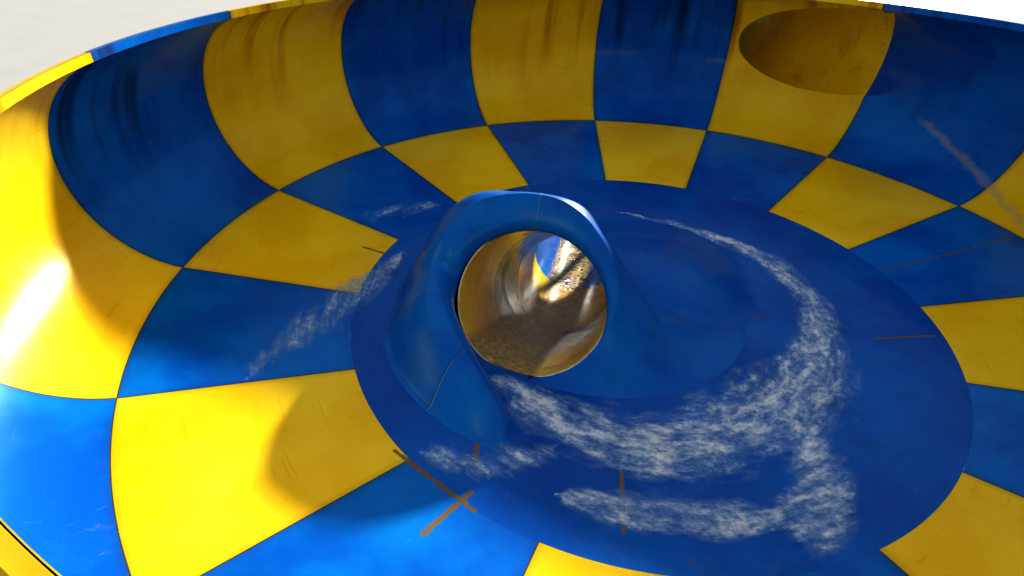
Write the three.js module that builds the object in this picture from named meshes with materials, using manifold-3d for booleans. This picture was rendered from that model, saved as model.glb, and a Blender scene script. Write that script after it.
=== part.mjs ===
// Water slide bowl: a checkered raft bowl of moulded panels on steel frames,
// with a covered exit tunnel in its floor and a flume that enters through its wall.
// Millimetres, +Z up, with the ground at Z = 0. The pieces are built round the bowl's axis,
// and the whole is then moved so that its origin is the middle of its footprint.

import * as THREE from 'three';
import { mergeVertices } from 'three/addons/utils/BufferGeometryUtils.js';
import Module from 'manifold-3d';

const wasm = await Module();
wasm.setup();

const degree = Math.PI / 180;

// Bowl, measured on its inner face
const panelCount = 16;
const firstSeam = 5.88 * degree;
const courseJointRadius = 7800;
const courseJointHeight = 5600;
const floorJointRadius = 4890;
const floorSlope = 9.1 * degree;
const wallArc = 1730;
const wallCentreRadius = 7420;
const rimLean = 72 * degree;
const rimLip = 120;
const floorFlat = 2400;

// Moulded panels
const panelThickness = 12;
const jointFlange = 80;
const flangeThickness = 12;
const rimFlange = 90;
const gap = 0.3;
const roundSteps = 32;
const wallSteps = 7;
const tubeSides = 24;

// Exit tunnel
const exitBore = 1220;
const exitWall = 10;
const exitFlange = 1300;
const exitStart = new THREE.Vector3(-1806, -859, courseJointHeight - 11);
const exitHeading = 84 * degree;
const exitDrop = 31.5 * degree;
const exitDropLength = 5560;
const exitBend = 6000;
const exitLevel = 3 * degree;
const exitLength = 12000;
const mouthLean = 44 * degree;
const exitFirstJoint = 2780;
const mouthReach = 1200;
const tunnelReach = 4000;
const floorHole = 1318;
const exitBendLength = exitBend * (exitDrop - exitLevel);

// Cowl over the exit tunnel: a hood with a rolled edge and a tail, and a low dome beside it.
// Its points are measured across and along the tunnel from the middle of its mouth, and its
// angles go round the mouth from the right side.
const cowlThickness = 12;
const hoodSides = 48;
const domeSides = 24;
const domeRows = 6;
const coverDepth = 2500;
const ringCentre = new THREE.Vector2(-150, -80);
const ringRadius = 1470;
const rollRadius = 250;
const rollChange = 60;
const rollStart = 205 * degree;
const rollTurn = 145 * degree;
const rollRows = 6;
const hoodCentre = -200;
const hoodLeft = 2350;
const hoodRight = 1750;
const hoodCrest = 1020;
const hoodFront = 1800;
const hoodBack = 2900;
const hoodHeight = 2050;
const tailStart = 172 * degree;
const tailTurn = 103 * degree;
const tailHeight = 1000;
const tailRadius = 1560;
const tailSweep = 630;
const tailRoll = 280;
const domeCentre = new THREE.Vector2(1750, 2450);
const domeRadius = 2060;
const domeHeight = 550;
const skirtReach = 4100;
const skirtRows = 9;
const skirtBuried = 60;
const skirtSlope = 0.58;
const skirtCurve = 0.0013;
const apronReach = 2;
const mergeWidth = 100;
const mergeGrowth = 0.15;
const mouthEdge = exitBore + exitWall + 3;

// Inlet flume
const flumeBore = 1115;
const flumeWall = 10;
const flumeFlange = 1190;
const flumeTangentAngle = 30 * degree;
const flumeTangentRadius = 7850;
const flumeHeight = courseJointHeight + 2000;
const flumeSlope = 3 * degree;
const flumeJoint = 8300;
const flumeEnd = 11100;

// Steel frames
const frameCount = 8;
const frameRadius = 6900;
const columnWidth = 260;
const beamWidth = 160;
const beamDepth = 300;
const beamInnerRadius = 3950;
const beamOuterRadius = 8900;
const baseWidth = 620;
const baseThickness = 30;
const braceReach = 1500;
const braceDepth = 140;
const braceWidth = 120;
const bracketLength = 1300;
const bracketToe = 150;
const bracketHeight = 950;
const bracketLean = 300;
const bracketTop = 700;

// Steel portals under the tubes
const exitPortalSteel = 180;
const inletPortalSteel = 200;
const portalOverhang = 260;
const portalLegInset = 300;
const portalBeamDepth = 200;
const portalClearance = 60;
const cradleHeight = 700;
const cradleThickness = 120;
const cradleSink = 20;
const portalSetBack = 900;

// Longer and taller than any piece that a cutter goes through
const cutterReach = 12000;

const seamStep = 2 * Math.PI / panelCount;
const arcStart = Math.asin((courseJointRadius - wallCentreRadius) / wallArc);
const wallCentreHeight = courseJointHeight + wallArc * Math.cos(arcStart);
const tangentRadius = wallCentreRadius + wallArc * Math.sin(floorSlope);
const tangentHeight = wallCentreHeight - wallArc * Math.cos(floorSlope);

// Height of the bowl's inner face over its sloping floor and lower course
function slopeHeight(radius) {
  return tangentHeight - (tangentRadius - radius) * Math.tan(floorSlope);
}

// Turns a closed geometry into a solid, with its faces pointing out
function solid(geometry) {
  const bare = geometry.clone();
  bare.deleteAttribute('normal');
  bare.deleteAttribute('uv');
  const merged = mergeVertices(bare, 1e-3);
  const vertProperties = new Float32Array(merged.attributes.position.array);
  const triVerts = new Uint32Array(merged.index.array);
  const mesh = (faces) => new wasm.Mesh({ numProp: 3, vertProperties, triVerts: faces });
  const kept = [];
  for (let i = 0; i < triVerts.length; i += 3) {
    const [a, b, c] = triVerts.subarray(i, i + 3);
    if (a !== b && b !== c && c !== a) kept.push(a, b, c);
  }
  const body = new wasm.Manifold(mesh(new Uint32Array(kept)));
  if (body.volume() > 0) return body;
  for (let i = 0; i < kept.length; i += 3) {
    [kept[i + 1], kept[i + 2]] = [kept[i + 2], kept[i + 1]];
  }
  return new wasm.Manifold(mesh(new Uint32Array(kept)));
}

function joined(solids) {
  return solids.reduce((whole, piece) => whole.add(piece));
}

// Makes a named mesh of a solid's largest body
function part(name, body, material) {
  const bodies = body.decompose();
  bodies.sort((a, b) => b.volume() - a.volume());
  const { numProp, vertProperties, triVerts } = bodies[0].getMesh();
  const positions = [];
  for (let i = 0; i < vertProperties.length; i += numProp) {
    positions.push(vertProperties[i], vertProperties[i + 1], vertProperties[i + 2]);
  }
  const geometry = new THREE.BufferGeometry();
  geometry.setAttribute('position', new THREE.Float32BufferAttribute(positions, 3));
  geometry.setIndex(Array.from(triVerts));
  geometry.computeVertexNormals();
  const mesh = new THREE.Mesh(geometry, material);
  mesh.name = name;
  return mesh;
}

// A closed outline of (radius, height) points turned about the bowl's axis
function turned(outline, steps = roundSteps) {
  const closed = [...outline, outline[0]];
  const geometry = new THREE.LatheGeometry(closed, steps);
  geometry.rotateX(Math.PI / 2);
  geometry.rotateZ(firstSeam);
  return solid(geometry);
}

function box(width, depth, height, centre, turn = 0) {
  const geometry = new THREE.BoxGeometry(width, depth, height);
  geometry.translate(centre.x, centre.y, centre.z);
  geometry.rotateZ(turn);
  return solid(geometry);
}

// Inner face of the upper wall, from the course joint up to the rim lip's top
function wallLine() {
  const line = [];
  for (let i = 0; i <= wallSteps; i += 1) {
    const angle = arcStart + (Math.PI / 2 + rimLean - arcStart) * i / wallSteps;
    const radius = wallCentreRadius + wallArc * Math.sin(angle);
    const height = wallCentreHeight - wallArc * Math.cos(angle);
    line.push(new THREE.Vector2(radius, height));
  }
  const last = line[line.length - 1];
  line.push(new THREE.Vector2(last.x, last.y + rimLip));
  return line;
}

// Inner face of the sloping part, between two radii
function slopeLine(inner, outer) {
  const line = [new THREE.Vector2(inner, slopeHeight(inner))];
  if (inner < tangentRadius && tangentRadius < outer) {
    line.push(new THREE.Vector2(tangentRadius, tangentHeight));
  }
  const outerHeight = outer > tangentRadius ? courseJointHeight : slopeHeight(outer);
  line.push(new THREE.Vector2(outer, outerHeight));
  return line;
}

// The same line moved by a distance to the outside of the bowl
function offsetLine(line, distance) {
  return line.map((point, i) => {
    const before = line[Math.max(i - 1, 0)];
    const after = line[Math.min(i + 1, line.length - 1)];
    const along = (a, b) => b.clone().sub(a).normalize();
    const first = i > 0 ? along(before, point) : along(point, after);
    const second = i < line.length - 1 ? along(point, after) : first;
    const mean = first.clone().add(second).normalize();
    const reach = distance / Math.max(mean.dot(first), 0.5);
    return new THREE.Vector2(point.x + mean.y * reach, point.y - mean.x * reach);
  });
}

// A moulding's section: its skin, and a flange square to it at its start and end
function moulding(line, startDepth, endDepth) {
  const short = trimmed(line, flangeThickness, flangeThickness);
  const skin = offsetLine(short, panelThickness).reverse();
  const startTips = [offsetLine(short, startDepth)[0], offsetLine(line, startDepth)[0]];
  const endTips = [offsetLine(line, endDepth), offsetLine(short, endDepth)];
  const last = line.length - 1;
  return [...line, endTips[0][last], endTips[1][last], ...skin, ...startTips];
}

function trimmed(line, start, end) {
  const copy = line.map((point) => point.clone());
  const last = copy.length - 1;
  copy[0].addScaledVector(copy[1].clone().sub(copy[0]).normalize(), start);
  copy[last].addScaledVector(copy[last - 1].clone().sub(copy[last]).normalize(), end);
  return copy;
}

// Section of the joint flange that runs down a panel's side, let into its skin
function ribSection(line) {
  const inset = panelThickness / 3;
  const short = trimmed(line, inset, inset);
  const inner = offsetLine(short, panelThickness / 2);
  return [...inner, ...offsetLine(short, jointFlange - inset).reverse()];
}

// A wedge between two neighbouring seams, half the joint gap inside each
function wedge(middle, halfAngle) {
  const set = (gap / 2) / Math.sin(halfAngle);
  const corner = (angle) => [
    set * Math.cos(middle) + cutterReach * Math.cos(angle),
    set * Math.sin(middle) + cutterReach * Math.sin(angle),
  ];
  const shape = new THREE.Shape();
  shape.moveTo(set * Math.cos(middle), set * Math.sin(middle));
  shape.lineTo(...corner(middle - halfAngle));
  shape.lineTo(...corner(middle));
  shape.lineTo(...corner(middle + halfAngle));
  shape.closePath();
  return solid(new THREE.ExtrudeGeometry(shape, { depth: cutterReach, bevelEnabled: false }));
}

// A slab lying along a seam, as thick as the joint flanges on both its sides together
function seamSlab(seam) {
  const centre = new THREE.Vector3(cutterReach / 2, 0, cutterReach / 2);
  return box(cutterReach, 2 * flangeThickness, cutterReach, centre, seam);
}

// One panel: its skin between two seams, and a joint flange down each side
function panel(skin, ribs, index) {
  const middle = firstSeam + (index + 0.5) * seamStep;
  const flanges = [-0.5, 0.5].map((side) => {
    return ribs.intersect(seamSlab(middle + side * seamStep));
  });
  return joined([skin, ...flanges]).intersect(wedge(middle, seamStep / 2));
}

// Upper wall panels, with the rim lip and its top flange
function wallParts() {
  const line = trimmed(wallLine(), gap / 2, 0);
  const skin = turned(moulding(line, jointFlange, rimFlange));
  const ribs = turned(ribSection(line));
  const passage = flumeCutter(flumeBore + flumeWall + gap);
  const parts = [];
  for (let i = 0; i < panelCount; i += 1) {
    const body = panel(skin, ribs, i).subtract(passage);
    const colour = i % 2 ? blueFibreglass : yellowFibreglass;
    parts.push(part(`wall_panel_${i + 1}`, body, colour));
  }
  return parts;
}

// Lower course panels
function courseParts() {
  const line = trimmed(slopeLine(floorJointRadius, courseJointRadius), gap / 2, gap / 2);
  const skin = turned(moulding(line, jointFlange, jointFlange));
  const ribs = turned(ribSection(line));
  const parts = [];
  for (let i = 0; i < panelCount; i += 1) {
    const colour = i % 2 ? yellowFibreglass : blueFibreglass;
    parts.push(part(`course_panel_${i + 1}`, panel(skin, ribs, i), colour));
  }
  return parts;
}

// Middle line of the exit tunnel by distance along it: a steep drop, a bend, a level run.
// It lies in the plane X = 0 and heads along +Y, until placeExit sets it in the bowl.
class ExitLine extends THREE.Curve {
  constructor(from, to) {
    super();
    this.from = from;
    this.to = to;
  }

  getPoint(t, target = new THREE.Vector3()) {
    const distance = this.from + (this.to - this.from) * t;
    const steep = Math.min(distance, exitDropLength);
    const bent = THREE.MathUtils.clamp(distance - exitDropLength, 0, exitBendLength);
    const level = Math.max(distance - exitDropLength - exitBendLength, 0);
    const slope = exitDrop - bent / exitBend;
    const run = steep * Math.cos(exitDrop)
      + exitBend * (Math.sin(exitDrop) - Math.sin(slope))
      + level * Math.cos(exitLevel);
    const fall = steep * Math.sin(exitDrop)
      + exitBend * (Math.cos(slope) - Math.cos(exitDrop))
      + level * Math.sin(exitLevel);
    return target.set(0, run, -fall);
  }
}

function placeExit(object) {
  if (object.isBufferGeometry) {
    object.rotateZ(exitHeading - Math.PI / 2);
    return object.translate(exitStart.x, exitStart.y, exitStart.z);
  }
  return object.applyAxisAngle(new THREE.Vector3(0, 0, 1), exitHeading - Math.PI / 2).add(exitStart);
}

// A straight tube along +Y from the origin, with a flange at its far end and its near end
function flangedTube(length, bore, outer, flange, nearFlange) {
  const outline = [[bore, 0], [bore, length], [flange, length]];
  outline.push([flange, length - flangeThickness], [outer, length - flangeThickness]);
  if (nearFlange) outline.push([outer, flangeThickness], [flange, flangeThickness], [flange, 0]);
  else outline.push([outer, 0]);
  outline.push([bore, 0]);
  const points = outline.map(([radius, height]) => new THREE.Vector2(radius, height));
  return new THREE.LatheGeometry(points, tubeSides);
}

// A round section carried along a curve, hollow if an inner radius is given
function tubeAlong(curve, steps, outer, inner = 0, sides = tubeSides) {
  const shape = new THREE.Shape();
  shape.absarc(0, 0, outer, 0, 2 * Math.PI);
  if (inner > 0) {
    const hole = new THREE.Path();
    hole.absarc(0, 0, inner, 0, 2 * Math.PI, true);
    shape.holes.push(hole);
  }
  const settings = { steps, extrudePath: curve, curveSegments: sides / 2, bevelEnabled: false };
  return new THREE.ExtrudeGeometry(shape, settings);
}

function exitTube(from, to, outer, inner) {
  const bends = from < exitDropLength + exitBendLength - 1 && to > exitDropLength + 1;
  const steps = bends ? 3 : 1;
  return solid(placeExit(tubeAlong(new ExitLine(from, to), steps, outer, inner)));
}

// Everything further than a distance in front of the leaning plane of the tunnel's mouth
function mouthFront(distance) {
  const geometry = new THREE.BoxGeometry(cutterReach, cutterReach, cutterReach);
  geometry.translate(0, -cutterReach / 2 - distance, 0);
  geometry.rotateX(-mouthLean);
  return solid(placeExit(geometry));
}

// One straight length of the exit tunnel
function straightExit(from, to, slope, nearFlange) {
  const outer = exitBore + exitWall;
  const tube = flangedTube(to - from, exitBore, outer, exitFlange, nearFlange);
  tube.rotateX(-slope);
  const start = new ExitLine(0, from).getPoint(1);
  tube.translate(start.x, start.y, start.z);
  return solid(placeExit(tube));
}

// The length that bends from the steep drop to the level run
function bentExit(from, to) {
  const ringBore = exitBore + exitWall / 3;
  const inset = 1;
  return joined([
    exitTube(from, to, exitBore + exitWall, exitBore),
    exitTube(from + inset, from + flangeThickness, exitFlange, ringBore),
    exitTube(to - flangeThickness, to - inset, exitFlange, ringBore),
  ]);
}

function exitParts() {
  const half = gap / 2;
  const bendEnd = exitDropLength + exitBendLength;
  const mouthEnd = exitFirstJoint - half;
  const mouth = straightExit(-mouthReach, mouthEnd, exitDrop, false).subtract(mouthFront(0));
  const upper = straightExit(exitFirstJoint + half, exitDropLength - half, exitDrop, true);
  const lower = straightExit(bendEnd + half, exitLength, exitLevel, true);
  const middle = bentExit(exitDropLength + half, bendEnd - half);
  return [
    part('exit_mouth', mouth, yellowFibreglass),
    part('exit_tube_upper', upper, blueFibreglass),
    part('exit_tube_middle', middle, yellowFibreglass),
    part('exit_tube_lower', lower, blueFibreglass),
  ];
}

// Bowl floor, with the hole that the exit tunnel goes down through
function floorPart() {
  const line = [
    new THREE.Vector2(floorFlat, slopeHeight(floorFlat)),
    new THREE.Vector2(floorJointRadius, slopeHeight(floorJointRadius)),
  ];
  const joint = trimmed(line, 0, gap / 2);
  const outline = [
    new THREE.Vector2(0, joint[0].y),
    ...moulding(joint, panelThickness, jointFlange).slice(0, -2),
    new THREE.Vector2(0, joint[0].y - panelThickness),
  ];
  const hole = exitTube(-tunnelReach, exitDropLength, floorHole).subtract(mouthFront(gap));
  return part('bowl_floor', turned(outline).subtract(hole), blueFibreglass);
}

// Everything under the floor and lower course, up to a small joint gap above them
function underFloor() {
  const reach = courseJointRadius;
  const outline = [
    new THREE.Vector2(0, 0),
    new THREE.Vector2(reach, 0),
    new THREE.Vector2(reach, slopeHeight(reach) + gap),
    new THREE.Vector2(floorFlat, slopeHeight(floorFlat) + gap),
    new THREE.Vector2(0, slopeHeight(floorFlat) + gap),
  ];
  return turned(outline);
}

// Height of the bowl's floor over a point of the tunnel's own plan, from the mouth's middle
function floorUnder(across, along) {
  const point = placeExit(new THREE.Vector3(across, along, 0));
  const radius = Math.max(Math.hypot(point.x, point.y), floorFlat);
  return slopeHeight(radius) - exitStart.z;
}

// Hood: a bell over the tunnel that falls to the floor behind it
function hoodOver(across, along) {
  const side = across - hoodCentre;
  const wide = Math.abs(side / (side < 0 ? hoodLeft : hoodRight)) ** 3.5;
  const back = along - hoodCrest;
  const long = back > 0 ? (back / hoodBack) ** 1.7 : (back / hoodFront) ** 2;
  return hoodHeight * Math.max(1 - wide - long, 0) ** 1.3;
}

// Height of a point merged softly with the hood, which is sunk where its bell has ended
function overHood(point) {
  const bell = hoodOver(point.x, point.y);
  const sunk = skirtBuried * (1 - THREE.MathUtils.smoothstep(bell, 0, skirtBuried));
  const hood = floorUnder(point.x, point.y) + bell - sunk;
  const width = mergeWidth + mergeGrowth * bell;
  return 0.5 * (point.z + hood + Math.hypot(point.z - hood, width));
}

// A point of the mouth's leaning plane
function leaning(across, up) {
  return new THREE.Vector3(across, up * Math.sin(mouthLean), up * Math.cos(mouthLean));
}

// Middle, size and directions of the rolled edge's section, at an angle round the mouth. The
// middle lies on a ring in the leaning plane, and from the left side on it follows the tail,
// which curves forward over the floor.
function rollSection(angle) {
  const smooth = THREE.MathUtils.smoothstep;
  const turn = angle / degree;
  const plan = new THREE.Vector3(Math.cos(angle), Math.sin(angle), 0);
  const strength = Math.max(smooth(turn, -45, 50), 0.14);
  const ring = leaning(
    ringCentre.x + ringRadius * plan.x,
    ringCentre.y + ringRadius * plan.y,
  );
  const middle = leaning(mouthEdge * plan.x, mouthEdge * plan.y).lerp(ring, strength);
  const way = THREE.MathUtils.clamp((angle - tailStart) / tailTurn, 0, 1);
  const height = tailHeight * (1 - way ** 2.2) ** 0.6;
  const size = Math.min(tailRoll, 0.85 * height) + 20;
  const crest = tailRadius + tailSweep * (Math.max(way - 0.35, 0) / 0.65) ** 2.5;
  const onTail = plan.clone().multiplyScalar(crest);
  onTail.z = floorUnder(onTail.x, onTail.y) + height - size - skirtBuried * smooth(way, 0.9, 1);
  const left = 1 - smooth(turn, 272, 280);
  const share = smooth(turn, 150, 188) * left;
  return {
    share,
    steep: smooth(turn, -5, 70) * left,
    middle: middle.lerp(onTail, share),
    size: THREE.MathUtils.lerp((rollRadius - rollChange * plan.x) * strength, size, share),
    outward: leaning(plan.x, plan.y).lerp(plan, share).normalize(),
    lift: new THREE.Vector3(0, -Math.cos(mouthLean), Math.sin(mouthLean))
      .lerp(new THREE.Vector3(0, 0, 1), share).normalize(),
  };
}

// A point of the rolled edge's section, by how far round it the point lies
function rollPoint(section, turn) {
  return section.middle.clone()
    .addScaledVector(section.outward, section.size * Math.cos(turn))
    .addScaledVector(section.lift, section.size * Math.sin(turn));
}

// A point of the skirt, at a distance out from the end of the rolled edge: a slope that steepens
// on the steep side, and an apron that fades into the floor on the other
function skirtPoint(section, angle, reach) {
  const point = rollPoint(section, rollStart - rollTurn);
  const stand = point.z - floorUnder(point.x, point.y) + skirtBuried;
  point.x += reach * Math.cos(angle);
  point.y += reach * Math.sin(angle);
  const foot = floorUnder(point.x, point.y) - skirtBuried;
  const left = THREE.MathUtils.clamp(1 - reach / (apronReach * stand + skirtBuried), 0, 1);
  const apron = foot + stand * left ** 2;
  const slope = Math.max(point.z - skirtSlope * reach - skirtCurve * reach ** 2, foot);
  point.z = THREE.MathUtils.lerp(apron, slope, section.steep);
  point.z = overHood(point);
  return point;
}

// How far the skirt runs out at an angle before it meets the floor
function skirtLength(section, angle) {
  const step = 20;
  for (let reach = skirtReach; reach > 0; reach -= step) {
    const point = skirtPoint(section, angle, reach);
    if (point.z > floorUnder(point.x, point.y)) return reach + step;
  }
  return step;
}

// The hood's points at an angle round the mouth: the mouth's edge, the foot of the inner face,
// over the rolled edge, out over the hood, and a last point under the floor
function hoodLine(angle) {
  const section = rollSection(angle);
  const edge = leaning(mouthEdge * Math.cos(angle), mouthEdge * Math.sin(angle));
  const start = rollPoint(section, rollStart);
  const foot = start.clone();
  foot.z = floorUnder(start.x, start.y) - skirtBuried;
  const line = [edge, start.clone().lerp(edge, 0.5).lerp(foot, section.share)];
  for (let i = 0; i <= rollRows; i += 1) {
    const point = rollPoint(section, rollStart - rollTurn * i / rollRows);
    const outer = Math.max(2 * i / rollRows - 1, 0);
    point.z = THREE.MathUtils.lerp(point.z, overHood(point), outer ** 2);
    line.push(point);
  }
  const length = skirtLength(section, angle);
  for (let i = 1; i <= skirtRows; i += 1) {
    line.push(skirtPoint(section, angle, length * (i / skirtRows) ** 1.3));
  }
  const last = skirtPoint(section, angle, length + 2 * skirtBuried);
  last.z = floorUnder(last.x, last.y) - 2 * skirtBuried;
  line.push(last);
  return line;
}

// Points of the low dome beside the tunnel, at an angle round its middle
function domeLine(angle) {
  const line = [];
  for (let i = 1; i <= domeRows; i += 1) {
    const share = 1.06 * i / domeRows;
    const from = domeRadius * share;
    const across = domeCentre.x + from * Math.cos(angle);
    const along = domeCentre.y + from * Math.sin(angle);
    const inside = 1 - share ** 2;
    const above = share < 1 ? domeHeight * inside ** 1.25 : -skirtBuried;
    line.push(new THREE.Vector3(across, along, floorUnder(across, along) + above));
  }
  return line;
}

// A closed solid over lines of points that run out from a middle, let in by a thickness
function covering(lines, middle, inset) {
  const rows = lines[0].length;
  const positions = lines.flat().flatMap((point) => point.toArray());
  const top = lines.length * rows;
  const bottom = top + 1;
  positions.push(...middle.toArray(), middle.x, middle.y, middle.z - coverDepth);
  const at = (i, row) => (i % lines.length) * rows + row;
  const faces = [];
  for (let i = 0; i < lines.length; i += 1) {
    faces.push(top, at(i, 0), at(i + 1, 0));
    faces.push(bottom, at(i + 1, rows - 1), at(i, rows - 1));
    for (let row = 0; row < rows - 1; row += 1) {
      faces.push(at(i, row), at(i, row + 1), at(i + 1, row + 1));
      faces.push(at(i, row), at(i + 1, row + 1), at(i + 1, row));
    }
  }
  const geometry = new THREE.BufferGeometry();
  geometry.setAttribute('position', new THREE.Float32BufferAttribute(positions, 3));
  geometry.setIndex(faces);
  geometry.computeVertexNormals();
  const normals = geometry.getAttribute('normal').array;
  const moved = positions.map((value, i) => value - normals[i] * inset);
  geometry.setAttribute('position', new THREE.Float32BufferAttribute(moved, 3));
  return solid(placeExit(geometry));
}

// Lines at even angles all round, from one side of the front
function linesRound(count, lineAt) {
  const front = -75 * degree;
  return Array.from({ length: count }, (_, i) => lineAt(front + 2 * Math.PI * i / count));
}

// Cowl: one shell that rolls round the mouth and covers the tunnel, with its tail and dome
function cowlPart() {
  const hoodLines = linesRound(hoodSides, hoodLine);
  const domeLines = linesRound(domeSides, domeLine);
  const mouth = new THREE.Vector3();
  const domeTop = new THREE.Vector3(domeCentre.x, domeCentre.y, domeHeight);
  domeTop.z += floorUnder(domeCentre.x, domeCentre.y);
  const cover = (inset) => covering(hoodLines, mouth, inset)
    .add(covering(domeLines, domeTop, inset));
  const tunnel = exitTube(-tunnelReach, exitDropLength, exitBore + exitWall + gap);
  const shell = cover(0).subtract(cover(cowlThickness)).subtract(tunnel);
  return part('exit_cowl', shell.subtract(underFloor()), blueFibreglass);
}

// Places something built along +Y so that it runs back up the inlet flume
function placeFlume(geometry) {
  geometry.rotateX(flumeSlope);
  const tangent = new THREE.Vector3(flumeTangentRadius, 0, flumeHeight);
  geometry.translate(tangent.x, tangent.y, tangent.z);
  geometry.rotateZ(flumeTangentAngle);
  return solid(geometry);
}

// A solid rod along the inlet flume, to cut its way through other pieces
function flumeCutter(radius) {
  const geometry = new THREE.CylinderGeometry(radius, radius, flumeEnd, tubeSides);
  return placeFlume(geometry.translate(0, flumeEnd / 2, 0));
}

// Solid that fills the bowl up to its inner face
function bowlInside() {
  const slope = slopeLine(floorJointRadius, courseJointRadius);
  const wall = wallLine();
  const top = wall[wall.length - 1];
  const outline = [
    new THREE.Vector2(0, slope[0].y),
    ...slope.slice(0, -1), ...wall,
    new THREE.Vector2(0, top.y),
  ];
  return turned(outline);
}

function flumeParts() {
  const outer = flumeBore + flumeWall;
  const half = gap / 2;
  const straight = (from, to, nearFlange) => {
    const tube = flangedTube(to - from, flumeBore, outer, flumeFlange, nearFlange);
    return placeFlume(tube.translate(0, from, 0));
  };
  const lower = straight(0, flumeJoint - half, false).subtract(bowlInside());
  const upper = straight(flumeJoint + half, flumeEnd, true);
  return [
    part('inlet_flume_lower', lower, yellowFibreglass),
    part('inlet_flume_upper', upper, blueFibreglass),
  ];
}

// Solid that fills the bowl and its joint flanges, with a small gap all round
function bowlEnvelope() {
  const slope = slopeLine(floorFlat, courseJointRadius);
  const line = [...slope.slice(0, -1), ...wallLine()];
  const outside = offsetLine(line, jointFlange + gap);
  return turned([
    new THREE.Vector2(0, outside[0].y), ...outside,
    new THREE.Vector2(0, outside[outside.length - 1].y),
  ]);
}

// A bar between two points of a radial plane, given as (radius, height)
function radialBar(from, to, depth, width) {
  const length = from.distanceTo(to);
  const geometry = new THREE.BoxGeometry(length, width, depth);
  geometry.rotateY(-Math.atan2(to.y - from.y, to.x - from.x));
  geometry.translate((from.x + to.x) / 2, 0, (from.y + to.y) / 2);
  return solid(geometry);
}

// The bracket that holds the wall up from a beam's outer end
function wallBracket() {
  const outline = new THREE.Shape();
  outline.moveTo(beamOuterRadius - bracketLength, courseJointHeight - 2 * bracketToe);
  outline.lineTo(beamOuterRadius, courseJointHeight - bracketToe);
  outline.lineTo(beamOuterRadius + bracketLean, courseJointHeight + bracketHeight);
  outline.lineTo(beamOuterRadius + bracketLean - bracketTop, courseJointHeight + bracketHeight);
  outline.closePath();
  const web = new THREE.ExtrudeGeometry(outline, { depth: beamWidth, bevelEnabled: false });
  web.rotateX(Math.PI / 2);
  return solid(web.translate(0, beamWidth / 2, 0));
}

// One radial frame: base plate, column, beam under the bowl, two braces and a wall bracket
function frameParts() {
  const beamMiddle = (radius) => new THREE.Vector2(radius, slopeHeight(radius) - beamDepth / 2);
  const columnTop = slopeHeight(frameRadius) - jointFlange;
  const column = new THREE.Vector3(frameRadius, 0, columnTop / 2);
  const base = new THREE.Vector3(frameRadius, 0, baseThickness / 2);
  const brace = (reach) => {
    const foot = new THREE.Vector2(frameRadius, columnTop - braceReach);
    return radialBar(foot, beamMiddle(frameRadius + reach), braceDepth, braceWidth);
  };
  const frame = joined([
    box(columnWidth, columnWidth, columnTop, column),
    box(baseWidth, baseWidth, baseThickness, base),
    radialBar(beamMiddle(beamInnerRadius), beamMiddle(beamOuterRadius), beamDepth, beamWidth),
    brace(-braceReach),
    brace(braceReach),
    wallBracket(),
  ]);
  const envelope = bowlEnvelope();
  const parts = [];
  for (let i = 0; i < frameCount; i += 1) {
    const angle = (firstSeam + (2 * i + 1) * seamStep) / degree;
    const placed = frame.rotate([0, 0, angle]).subtract(envelope);
    parts.push(part(`support_frame_${i + 1}`, placed, galvanisedSteel));
  }
  return parts;
}

// A portal of two legs and a cradle beam that carries a tube
function portal(centre, heading, tubeRadius, steelSize) {
  const half = tubeRadius + portalOverhang;
  const beamTop = centre.z - tubeRadius - portalClearance;
  const beam = new THREE.Vector3(0, 0, beamTop - portalBeamDepth / 2);
  const cradle = new THREE.Vector3(0, 0, beamTop + cradleHeight / 2 - cradleSink);
  const whole = [
    box(2 * half, steelSize, portalBeamDepth, beam),
    box(2 * tubeRadius, cradleThickness, cradleHeight, cradle),
  ];
  for (const across of [portalLegInset - half, half - portalLegInset]) {
    const leg = new THREE.Vector3(across, 0, beamTop / 2);
    const foot = new THREE.Vector3(across, 0, baseThickness / 2);
    whole.push(box(steelSize, steelSize, beamTop, leg));
    whole.push(box(baseWidth, baseWidth, baseThickness, foot));
  }
  const turn = heading / degree - 90;
  return joined(whole).rotate([0, 0, turn]).translate([centre.x, centre.y, 0]);
}

function exitSupportPart() {
  const point = placeExit(new ExitLine(0, exitLength - portalSetBack).getPoint(1));
  const outer = exitBore + exitWall + gap;
  const tunnel = exitTube(exitDropLength + exitBendLength, exitLength + portalSetBack, outer);
  const support = portal(point, exitHeading, outer, exitPortalSteel).subtract(tunnel);
  return part('exit_support', support, galvanisedSteel);
}

function inletSupportPart() {
  const along = flumeEnd - portalSetBack;
  const height = flumeHeight + along * Math.sin(flumeSlope);
  const point = new THREE.Vector3(flumeTangentRadius, along * Math.cos(flumeSlope), height);
  point.applyAxisAngle(new THREE.Vector3(0, 0, 1), flumeTangentAngle);
  const outer = flumeBore + flumeWall + gap;
  const support = portal(point, flumeTangentAngle + Math.PI / 2, outer, inletPortalSteel);
  return part('inlet_support', support.subtract(flumeCutter(outer)), galvanisedSteel);
}

const yellowFibreglass = new THREE.MeshStandardMaterial({
  color: 0xe8b800,
  roughness: 0.25,
  metalness: 0,
});
const blueFibreglass = new THREE.MeshStandardMaterial({
  color: 0x0a4fc0,
  roughness: 0.22,
  metalness: 0,
});
const galvanisedSteel = new THREE.MeshStandardMaterial({
  color: 0x9aa0a4,
  roughness: 0.55,
  metalness: 0.8,
});

const bowl = new THREE.Group();
bowl.add(...wallParts());
bowl.add(...courseParts());
bowl.add(floorPart());
bowl.add(cowlPart());
bowl.add(...exitParts());
bowl.add(...flumeParts());
bowl.add(...frameParts());
bowl.add(exitSupportPart());
bowl.add(inletSupportPart());

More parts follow.
